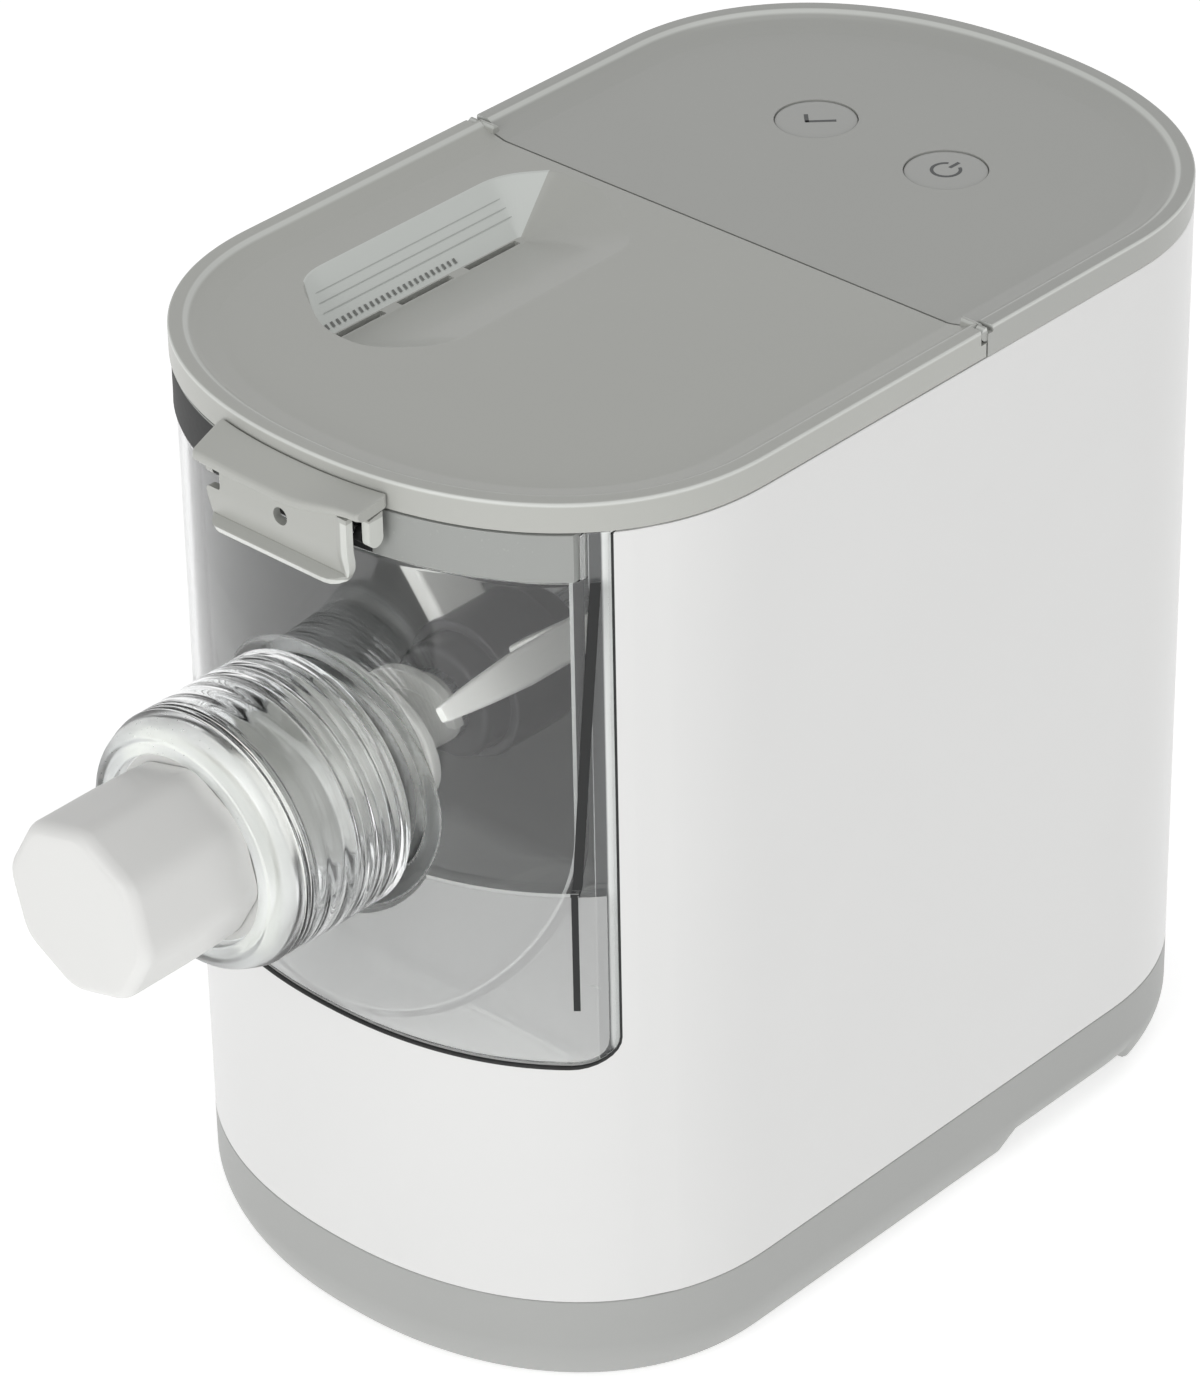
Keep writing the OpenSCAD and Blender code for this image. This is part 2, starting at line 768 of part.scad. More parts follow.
module gear_front_plate() color(base_grey) placed() difference() {
    along_y(gear_case_y, case_inner - eps) case_outline();
    bar_y(output_r + run_fit + bush_wall + press_fit, 0, case_inner + 1, axis_z);
    bar_y(idler_r + run_fit + bush_wall + press_fit, 0, case_inner + 1, idler_z);
    for (s = case_screws()) bar_y(screw_r + fit_gap, 0, case_inner + 1, s[1], s[0]);
}

module gear_case() color(base_grey) placed() difference() {
    along_y(case_inner, case_back) case_outline();
    along_y(case_inner - 1, case_end) case_outline(-case_wall);
    bar_y(output_r + run_fit + bush_wall + press_fit, 0, case_back + 1, axis_z);
    bar_y(idler_r + run_fit + bush_wall + press_fit, 0, case_back + 1, idler_z);
    bar_y(motor_shaft_r + 2, 0, case_back + 1, motor_z);
}

module gear_screws() color(steel) placed() for (s = case_screws()) {
    bar_y(screw_r - press_fit, bay_end - 0.5, case_inner, s[1], s[0]);
    bar_y(screw_head_r - 0.4, case_inner, case_inner + 1.6, s[1], s[0]);
}

module shaft_bushes() color(bronze) placed() for (span = [[gear_case_y, case_inner + 1.5],
                                                          [case_end - 1.5, case_back]]) {
    tube_y(output_r + run_fit + bush_wall, output_r + run_fit, span[0], span[1], axis_z);
    tube_y(idler_r + run_fit + bush_wall, idler_r + run_fit, span[0], span[1], idler_z);
}

module motor_can() color(steel) placed() difference() {
    bar_y(motor_r, motor_front + eps, motor_back, motor_z);
    bar_y(motor_r - motor_wall, motor_front + motor_wall, motor_back + 1, motor_z);
    bar_y(motor_shaft_r + run_fit, 0, motor_back, motor_z);
}

module motor_end_cap() color(steel) placed() difference() {
    union() {
        bar_y(motor_r, motor_back + eps, motor_back + 2.4, motor_z);
        bar_y(motor_r - motor_wall - fit_gap, motor_back - 3, motor_back + 1, motor_z);
    }
    bar_y(motor_shaft_r + run_fit, 0, motor_back + 9, motor_z);
}

module motor_cradle() color(steel) placed() difference() {
    for (y = cradle_places()) along_y(y - cradle_t / 2, y + cradle_t / 2) {
        translate([-cradle_w / 2, foot_h + 12 + bush_h])
            square([cradle_w, motor_z - motor_r / 2 - foot_h - 12 - bush_h]);
        translate([-cradle_foot_x - bush_r, foot_h + 12 + bush_h])
            square([2 * (cradle_foot_x + bush_r), 2.4]);
    }
    bar_y(motor_r + eps, motor_front, motor_back, motor_z);
}

module motor_bushes() color(dark) placed() both_sides() for (y = cradle_places())
    translate([cradle_foot_x, y, foot_h + 12]) cylinder(h = bush_h, r = bush_r);

module output_shaft() color(steel) placed() {
    bar_y(output_r, shaft_back + gap, case_back - 1, axis_z);
    translate([0, shaft_back + 1, axis_z]) rotate([90, 0, 0])
        rotate(30) cylinder(h = socket_depth - 1, r = dog_w / 2 / cos(30), $fn = 6);
}

module output_gear() color(acetal) placed()
    gear_y(output_teeth, last_module, output_gear_y, output_gear_t, axis_z, 90,
           output_r + press_fit);

module idler_shaft() color(steel) placed()
    bar_y(idler_r, gear_case_y + 0.5, case_back - 1, idler_z);

// The idler's small gear meshes with the output gear above it, its large gear with the
// motor pinion below it, so each starts half a tooth round from its neighbour
module idler_pinion() color(steel) placed()
    gear_y(step_teeth, last_module, output_gear_y - 0.5, output_gear_t + 1, idler_z,
           mesh_turn(output_teeth, step_teeth, 90, -90), idler_r + press_fit);

module idler_gear() color(acetal) placed()
    gear_y(idler_teeth, first_module, idler_gear_y, idler_gear_t, idler_z, 90,
           idler_r + press_fit);

module motor_pinion() color(steel) placed()
    gear_y(pinion_teeth, first_module, idler_gear_y - 0.5, idler_gear_t + 1, motor_z,
           mesh_turn(idler_teeth, pinion_teeth, 90, -90), motor_shaft_r + press_fit);

// Turn of a gear so that a gap of it faces the tooth of its neighbour on the line of centres.
// The neighbour has a tooth at own_turn, and this gear lies from it in direction toward.
function mesh_turn(neighbour, teeth, own_turn, toward) =
    let (step = 360 / neighbour, off = (toward - own_turn) / step, part = off - floor(off))
    toward + 180 + 180 / teeth + part * 360 / teeth;

module motor_shaft() color(steel) placed()
    bar_y(motor_shaft_r, motor_shaft_front, motor_shaft_back, motor_z);

module motor_rotor() color(steel) placed() {
    tube_y(rotor_r, motor_shaft_r + press_fit, motor_front + rotor_end - 2,
           motor_back - rotor_end, motor_z);
    tube_y(rotor_r / 1.5, motor_shaft_r + press_fit, motor_back - rotor_end,
           motor_back - rotor_end / 2, motor_z);
}

module cooling_fan() color(dark) placed() difference() {
    union() {
        bar_y(8, fan_y, fan_y + fan_t, motor_z);
        bar_y(fan_r, fan_y, fan_y + 1.6, motor_z);
        for (k = [0 : fan_blades - 1]) translate([0, 0, motor_z])
            rotate([0, k * 360 / fan_blades, 0])
                block([6, fan_y, -0.7], [fan_r, fan_y + fan_t, 0.7]);
    }
    bar_y(motor_shaft_r + press_fit, fan_y - 1, fan_y + fan_t + 1, motor_z);
}

// ---------------------------------------------------------------- mixing cup

// The cup's section in X and Z: straight sides over a round trough about the screw's axis
module trough(half, top) {
    intersection() {
        union() {
            translate([0, axis_z]) circle(r = half, $fn = 96);
            translate([-half, axis_z]) square([2 * half, top - axis_z]);
        }
        translate([-half - 1, axis_z - half - 1]) square([2 * half + 2, top - axis_z + half + 1]);
    }
}

// The cup's front plate in X and Z: round lower corners, and a strip up each side of the collar
module front_outline() {
    low = bay_floor + gap;
    r = window_r - cup_gap;
    inner = cup_half + gap;
    translate([-front_half, low + r]) square([2 * front_half, clear_top - low - r]);
    translate([-front_half + r, low]) square([2 * (front_half - r), r + 1]);
    for (side = [-1, 1]) translate([side * (front_half - r), low + r]) circle(r = r);
    both_sides_flat() translate([inner, low + r])
        square([front_half - inner, cup_top - low - r]);
}

module cup_plan(inset, back) {
    intersection() {
        column(inset, 0, body_h);
        block([-body_w, front_y - 1, 0], [body_w, back, body_h]);
    }
}

// The U-shaped shell of the cup with its back wall, behind the front plate
module mixing_cup() color(clear) placed() difference() {
    union() {
        difference() {
            intersection() {
                along_y(front_y - 1, cup_back) trough(cup_half, clear_top);
                cup_plan(front_back, cup_back);
            }
            along_y(front_y - 1, cup_back - cup_back_wall)
                trough(cup_half - cup_wall, body_h);
        }
        bar_y(core_r + 6, cup_back - 7, cup_back - 1, axis_z);
    }
    bar_y(core_r + gap, cup_back - 9, cup_back + 1, axis_z);
    bar_y(core_r + 3, cup_back - 8, cup_back - 4, axis_z);
}

// The curved front plate that fills the window, with a thick round boss behind it
module cup_front() color(clear) placed() difference() {
    union() {
        intersection() {
            difference() {
                cup_plan(cup_inset, front_y + end_l);
                cup_plan(front_back, front_y + end_l + 1);
            }
            along_y(front_y - 1, front_y + end_l) front_outline();
        }
        intersection() {
            bar_y(boss_r, front_y, boss_y, axis_z);
            cup_plan(cup_inset, cup_back);
        }
    }
    bar_y(barrel_out + press_fit, front_y - 1, boss_y + 1, axis_z);
}

// The grey collar on the cup's top edge: full height at the front and sides, low at the back
module cup_collar() color(grey) placed() difference() {
    union() {
        difference() {
            intersection() {
                cup_plan(cup_inset, cup_back);
                block([-cup_half, front_y, clear_top + eps], [cup_half, cup_back, cup_top]);
            }
            intersection() {
                cup_plan(cup_inset + cup_wall, cup_back - cup_back_wall);
                block([-cup_half + cup_wall, front_y, 0],
                      [cup_half - cup_wall, cup_back - cup_back_wall, body_h]);
            }
            block([-cup_half + cup_wall, cup_back - 12, collar_back_top],
                  [cup_half - cup_wall, cup_back + 1, body_h]);
        }
        both_sides() bar_x(lug_r, lug_in, lug_in + lug_t, latch_y, latch_z);
        both_sides() block([lug_in, latch_y, latch_z - lug_r],
                           [lug_in + lug_t, front_y + 3, latch_z + lug_r]);
    }
    bar_x(latch_pin_r + press_fit, -cup_half, cup_half, latch_y, latch_z);
}

module extrusion_barrel() color(clear) placed() turned_y(boss_y, axis_z) polygon([
    [barrel_r + 8, -flange_t], [boss_r - 1, -flange_t], [boss_r - 1, 0], [barrel_out, 0],
    [barrel_out, boss_y - barrel_end], [barrel_r, boss_y - barrel_end], [barrel_r, 6]]);

module shaft_seal() color(dark) placed()
    tube_y(core_r + 3 - press_fit, core_r + run_fit, cup_back - 7.9, cup_back - 4.1, axis_z);

module latch_pin() color(steel) placed()
    bar_x(latch_pin_r, -latch_w / 2 + 0.4, latch_w / 2 - 0.4, latch_y, latch_z);

module latch_spring() color(steel) placed() difference() {
    bar_x(latch_pin_r + 0.6, -lug_in + 1.3, -lug_in + 8.3, latch_y, latch_z);
    bar_x(latch_pin_r + 0.1, -lug_in + 0.3, -lug_in + 9.3, latch_y, latch_z);
}

// A rocking latch: a sloping shelf against the lid's rim, a tab below it with a flared lip
module latch() color(grey) placed() difference() {
    union() {
        along_x(-latch_w / 2, latch_w / 2) polygon([
            [front_y + 8, shelf_top], [front_y - 1.4, shelf_top], [shelf_front, shelf_low + 2],
            [shelf_front, shelf_low], [tab_front, shelf_low - 1.2], [tab_back, shelf_low - 1.2],
            [tab_back, shelf_low + 1.4], [front_y, shelf_top - 2.2],
            [front_y + 8, shelf_top - 2.2]]);
        along_x(-tab_w / 2, tab_w / 2) polygon([
            [tab_back, shelf_low], [tab_back, tab_bottom + 3.4], [tab_back - 0.8, tab_bottom + 1],
            [tab_front - 2.6, tab_bottom], [tab_front - 2.8, tab_bottom + 1.8],
            [tab_front - 0.6, tab_bottom + 3.2], [tab_front, tab_bottom + 5],
            [tab_front, shelf_low]]);
        both_sides() along_x(latch_w / 2 - cheek_t, latch_w / 2) {
            translate([latch_y, latch_z]) circle(r = lug_r);
            polygon([[latch_y - lug_r, latch_z], [latch_y + lug_r, latch_z],
                     [front_y - 0.6, shelf_top - 3], [shelf_front, shelf_low + 1],
                     [shelf_front, shelf_low], [tab_front, latch_z]]);
        }
    }
    column(-gap - 0.05, 0, body_h + 1);
    bar_x(latch_pin_r + run_fit, -latch_w, latch_w, latch_y, latch_z);
    bar_y(latch_hole_r, shelf_front - 4, tab_back + 1, (tab_bottom + shelf_low) / 2 + 3.5);
}

// ---------------------------------------------------------------- nozzle

module die_seal() color(dark) placed()
    tube_y(barrel_out - 0.5, barrel_r + 1, die_back + gap, barrel_end - eps, axis_z);

module shaping_disc() color(white) placed() difference() {
    union() {
        bar_y(barrel_out, die_front, die_back, axis_z);
        bar_y(barrel_r - gap, die_back - eps, barrel_end + 2.2, axis_z);
    }
    for (k = [0 : die_slots - 1]) translate([0, 0, axis_z])
        rotate([0, k * 360 / die_slots, 0])
            block([barrel_r / 2 - 3, die_front - 1, -0.8], [barrel_r - 4, barrel_end + 4, 0.8]);
}

module clamp_nut() color(clear) placed() turned_y(nut_back, axis_z) polygon([
    [nut_bore, 0], [nut_r - 1, 0], [nut_r, 2], [nut_r - nut_taper, nut_back - nut_seat],
    [nut_r - nut_taper - 2, nut_back - nut_front - 2.4], [nut_r - 6, nut_back - nut_front],
    [nut_hole_r, nut_back - nut_front], [nut_hole_r, nut_back - nut_seat],
    [nut_bore, nut_back - nut_seat]]);

// An eight-sided outline with soft corners, seen along the nozzle's axis
module cap_outline(inset) {
    r = cap_r - inset;
    soft = cap_soft;
    reach = r - soft / cos(22.5);
    hull() for (k = [0 : 7])
        rotate(cap_turn + 22.5 + k * 45) translate([reach, 0]) circle(r = soft, $fn = 24);
}

module outlet_cap() color(white) placed() translate([0, 0, axis_z]) {
    bar_y(cap_collar_r, nut_front + 1, nut_seat - gap - 0.1);
    hull() {
        along_y(cap_front + 4, nut_front + 2) cap_outline(0);
        along_y(cap_front + 1.2, cap_front + 4) cap_outline(1.2);
        along_y(cap_front, cap_front + 1.2) cap_outline(4);
    }
}

// ---------------------------------------------------------------- screw and paddle

module mixing_shaft() color(steel) placed() difference() {
    bar_y(core_r, flight_back, shaft_back, axis_z);
    translate([0, shaft_back + 1, axis_z]) rotate([90, 0, 0])
        rotate(30) cylinder(h = socket_depth + 1, r = (dog_w / 2 + dog_clear) / cos(30), $fn = 6);
}

module paddle_hub() color(dark) placed()
    tube_y(hub_r, core_r + press_fit, hub_front, hub_front + hub_l, axis_z);

// White mixing paddle: a ring on the hub, long arms with scraper bars and one short blade
// An arm out to its reach, with a scraper bar along the axis at its end
module scraper_arm(reach, front) {
    block([hub_r, arm_y, -arm_t / 2], [reach, arm_y + arm_l, arm_t / 2]);
    block([reach - scraper_w, front, -arm_t / 2], [reach, scraper_back, arm_t / 2]);
}

module mixing_paddle() color(white) placed() difference() {
    translate([0, 0, axis_z]) union() {
        bar_y(hub_r + ring_t, ring_y, ring_y + ring_l);
        rotate([0, -paddle_angle, 0]) scraper_arm(near_r, near_front);
        rotate([0, -paddle_angle - 180, 0]) scraper_arm(paddle_r - 1, far_front);
        rotate([0, -paddle_angle - 90, 0])
            block([hub_r, arm_y - 2, -blade_t / 2], [blade_r, arm_y - 2 + blade_l, blade_t / 2]);
    }
    bar_y(hub_r + press_fit, hub_front, hub_front + hub_l, axis_z);
}

// The extruding screw: a core and one helical flight, twisted from a single section
module auger() color(white) placed() translate([0, flight_back - eps, axis_z])
    rotate([90, 0, 0]) {
        span = flight_back - core_front;
        turns = span / flight_lead;
        half = 180 * flight_t / flight_lead;
        linear_extrude(span, twist = -360 * turns, slices = ceil(turns * 16), segments = 0,
                       $fn = 0) union() {
            circle(r = core_r, $fn = 18);
            polygon(concat([[0, 0]], [for (i = [-2 : 2])
                flight_r * [cos(i * half / 2), sin(i * half / 2)]]));
        }
    }

base_tray();
rubber_feet();
base_screws();
outer_housing();
cup_bay();
rear_panel();
power_inlet();
inlet_pins();
gear_front_plate();
gear_case();
gear_screws();
shaft_bushes();
motor_can();
motor_end_cap();
motor_cradle();
motor_bushes();
control_board();
tact_switches();
lid_sensor();
hinge_pins();
lid();
lid_liner();
lid_magnet();
start_button();
power_button();
start_spring();
power_spring();
mixing_cup();
cup_front();
cup_collar();
extrusion_barrel();
shaft_seal();
latch_pin();
latch_spring();
latch();
die_seal();
shaping_disc();
clamp_nut();
outlet_cap();
mixing_shaft();
paddle_hub();
mixing_paddle();
auger();
output_shaft();
output_gear();
idler_shaft();
idler_gear();
idler_pinion();
motor_shaft();
motor_rotor();
motor_pinion();
cooling_fan();
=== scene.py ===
"""Looks of an electric pasta maker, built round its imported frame.

All sizes are in millimetres about the body's middle, with the table at z = 0, until a piece
becomes a mesh. Then they are moved back by the body's offset and turned into metres.
"""

import logging
import math
from dataclasses import dataclass, field
from enum import Enum
from typing import Callable, Sequence

import bmesh
import bpy
import numpy as np
from mathutils import Matrix, Vector
from mathutils.geometry import delaunay_2d_cdt


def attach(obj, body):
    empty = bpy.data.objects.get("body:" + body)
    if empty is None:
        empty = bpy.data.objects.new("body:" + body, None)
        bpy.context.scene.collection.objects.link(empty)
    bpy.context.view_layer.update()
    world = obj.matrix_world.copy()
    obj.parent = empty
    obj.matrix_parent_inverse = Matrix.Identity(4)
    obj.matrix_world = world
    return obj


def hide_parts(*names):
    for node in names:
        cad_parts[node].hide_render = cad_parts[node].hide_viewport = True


LOG = logging.getLogger("pasta_maker")
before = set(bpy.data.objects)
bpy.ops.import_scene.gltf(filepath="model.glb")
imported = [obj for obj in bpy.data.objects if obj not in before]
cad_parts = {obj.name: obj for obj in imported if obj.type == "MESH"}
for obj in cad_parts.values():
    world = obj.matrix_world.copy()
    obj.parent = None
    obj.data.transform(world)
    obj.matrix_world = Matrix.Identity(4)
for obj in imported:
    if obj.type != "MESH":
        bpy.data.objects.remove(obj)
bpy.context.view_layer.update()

BODY_OFFSET = 38.2
MM = 0.001
MERGE = 3e-6
AXIS_Z = 161.0
NOZZLE_AXIS = (0.0, AXIS_Z)
LATCH_PIN = (-135.3, 236.5)
CUP_HALF = 64.5
CUP_WALL = 2.4
CUP_INSET = 0.4
CUP_BACK = 5.5
DISH = 247.0

Array = np.ndarray
Surface = Callable[[Array], Array]


# ------------------------------------------------------------------ plan of the body


@dataclass(frozen=True)
class Plan:
    """The body's outline seen from above: straight sides between two superelliptic ends."""

    half_w: float = 83.0
    half_l: float = 133.5
    end_l: float = 67.0
    power: float = 2.2
    end_steps: int = 56
    side_steps: int = 12

    @property
    def straight(self) -> float:
        """Where the straight sides end, measured from the middle."""
        return self.half_l - self.end_l

    def front_y(self, x: Array, inset: float = 0.0) -> Array:
        """Depth of the front end at x: |x|^p + |y|^p = 1 on the end's two half axes."""
        share = np.clip(np.abs(x) / (self.half_w - inset), 0.0, 1.0)
        rise = (1.0 - share**self.power) ** (1.0 / self.power)
        return -self.straight - (self.end_l - inset) * rise

    def onto(self, inset: float | Array, side: int = -1) -> Surface:
        """Lifts points of X and Z to the front (side -1) or rear outline at an inset."""
        return lambda uv: np.column_stack([uv[:, 0], -side * self.front_y(uv[:, 0], inset),
                                           uv[:, 1]])

    def quarter(self, inset: float) -> Array:
        """Points of one quarter end, from the side (x = half width) to the tip (x = 0).

        x is cos(t)^(2/p) and y is sin(t)^(2/p), each times its half axis.

        Args:
            inset: distance inside the outline.

        Returns:
            Points (n, 2) with y counted from the end of the straight side.
        """
        turn = np.linspace(0.0, math.pi / 2, self.end_steps + 1)
        power = 2.0 / self.power
        wide = np.clip(np.cos(turn), 0.0, 1.0) ** power * (self.half_w - inset)
        deep = np.clip(np.sin(turn), 0.0, 1.0) ** power * (self.end_l - inset)
        return np.column_stack([wide, deep])

    def half_path(self, inset: float, cut: float, anchor: float, side: int) -> Array:
        """The outline's front or rear part, from one straight side round its end to the other.

        Args:
            inset: distance inside the outline.
            cut: y of both ends of the path.
            anchor: y of the path's second point, shared by paths with other cuts.
            side: -1 for the front part, 1 for the rear part.

        Returns:
            Points (n, 2), starting on the right.
        """
        corner = self.quarter(inset) * [1.0, side] + [0.0, side * self.straight]
        ys = np.linspace(anchor, side * self.straight, self.side_steps + 1)[:-1]
        edge = np.column_stack([np.full(len(ys) + 1, self.half_w - inset), np.r_[cut, ys]])
        return mirrored(np.vstack([edge, corner]), 1)

    def loop(self, inset: float) -> Array:
        """The whole closed outline, from the front's middle by way of the right side."""
        front = self.half_path(inset, 0.0, -6.0, -1)
        rear = self.half_path(inset, 0.0, 6.0, 1)
        middle = len(front) // 2
        right = front[middle::-1]
        left = front[:middle - 1:-1]
        return np.vstack([right[:-1], rear[:-1], left[:-1]])


PLAN = Plan()


# ------------------------------------------------------------------ shapes as arrays


def rounded(points: Sequence[Sequence[float]], radius: float | Sequence[float],
            closed: bool = True, steps: int = 5) -> Array:
    """A polyline whose corners are quarter-like arcs: each corner is left and joined again at
    the same distance on both legs, and a quadratic arc runs between with the corner as its
    control point.

    Args:
        points: corners in order.
        radius: distance from the corner to the arc's ends, for all corners or one each.
        closed: True if the last corner joins the first.
        steps: segments in each arc.

    Returns:
        Points (n, 2).
    """
    corners = np.asarray(points, float)
    count = len(corners)
    reach = np.broadcast_to(np.asarray(radius, float), (count,))
    before = np.roll(corners, 1, axis=0) - corners
    after = np.roll(corners, -1, axis=0) - corners
    long_before = np.linalg.norm(before, axis=1)
    long_after = np.linalg.norm(after, axis=1)
    size = np.minimum(reach, 0.48 * np.minimum(long_before, long_after))
    if not closed:
        size = np.where((np.arange(count) == 0) | (np.arange(count) == count - 1), 0.0, size)
    start = corners + before / long_before[:, None] * size[:, None]
    end = corners + after / long_after[:, None] * size[:, None]
    t = np.linspace(0.0, 1.0, steps + 1)[None, :, None]
    arcs = ((1 - t) ** 2 * start[:, None] + 2 * t * (1 - t) * corners[:, None]
            + t**2 * end[:, None])
    parts = [arcs[i] if size[i] > 1e-9 else corners[i:i + 1] for i in range(count)]
    return np.vstack(parts)


def mirrored(right: Array, shared: int = 0) -> Array:
    """A path on the right followed by its mirror image, but for its last shared points."""
    return np.vstack([right, right[::-1][shared:] * [-1.0, 1.0]])


def resampled(loop: Array, step: float) -> Array:
    """A closed loop with extra points on its long edges, at most step apart."""
    after = np.roll(loop, -1, axis=0)
    counts = np.maximum(1, np.ceil(np.linalg.norm(after - loop, axis=1) / step).astype(int))
    parts = [loop[i] + (after[i] - loop[i]) * (np.arange(n)[:, None] / n)
             for i, n in enumerate(counts)]
    return np.vstack(parts)


def cut_up(loop: Array, long: Array, cuts: int) -> Array:
    """A closed loop whose edges are cut into equal parts where long is true."""
    after = np.roll(loop, -1, axis=0)
    share = np.linspace(0, 1, cuts + 1)[:-1][:, None]
    return np.vstack([loop[i] + (after[i] - loop[i]) * share if long[i] else loop[i:i + 1]
                      for i in range(len(loop))])


def evenly(loop: Array, count: int) -> Array:
    """A closed loop redrawn with count points at equal distances along it."""
    closed = np.vstack([loop, loop[:1]])
    run = np.r_[0.0, np.cumsum(np.linalg.norm(np.diff(closed, axis=0), axis=1))]
    at = np.linspace(0.0, run[-1], count, endpoint=False)
    return np.column_stack([np.interp(at, run, closed[:, k]) for k in range(2)])


def box_loop(x0: float, x1: float, y0: float, y1: float, radius: float = 0.0,
             step: float = 4.0) -> Array:
    """A rounded rectangle, anticlockwise from its lower left corner."""
    corners = [[x0, y0], [x1, y0], [x1, y1], [x0, y1]]
    return resampled(rounded(corners, radius) if radius else np.asarray(corners, float), step)


def arc(x: float, y: float, radius: float, turn: Array) -> Array:
    """A circle's points at the angles turn."""
    return np.column_stack([x + radius * np.cos(turn), y + radius * np.sin(turn)])


def circle_loop(x: float, y: float, radius: float, count: int = 64) -> Array:
    """A circle as a closed loop."""
    return arc(x, y, radius, np.linspace(0.0, 2 * math.pi, count, endpoint=False))


def inside(points: Array, loop: Array) -> Array:
    """True for each point inside a closed loop, by counting the edges to its right."""
    x, y = points[:, :1], points[:, 1:2]
    ax, ay = loop[:, 0][None], loop[:, 1][None]
    bx, by = np.roll(loop[:, 0], -1)[None], np.roll(loop[:, 1], -1)[None]
    spans = (ay > y) != (by > y)
    rise = np.where(spans, by - ay, 1.0)
    return (np.sum(spans & (x < (bx - ax) * (y - ay) / rise + ax), axis=1) % 2).astype(bool)


def within(points: Array, outer: Array, holes: Sequence[Array]) -> Array:
    """True for each point inside outer and outside all holes."""
    keep = inside(points, outer)
    for hole in holes:
        keep &= ~inside(points, hole)
    return keep


def smooth(share: Array) -> Array:
    """A smooth step: 3 t^2 - 2 t^3 of a share t that is held between 0 and 1."""
    t = np.clip(share, 0.0, 1.0)
    return t * t * (3 - 2 * t)


def raised(plan: Array, z: Array) -> Array:
    """A grid of plan points with one height for each row."""
    return np.concatenate([plan, np.broadcast_to(z[:, None, None], (*plan.shape[:2], 1))],
                          axis=2)


def flat(height: float, axis: int = 2) -> Surface:
    """A surface that lifts plane points to a constant coordinate on one axis."""
    return lambda uv: np.insert(uv, axis, height, axis=1)


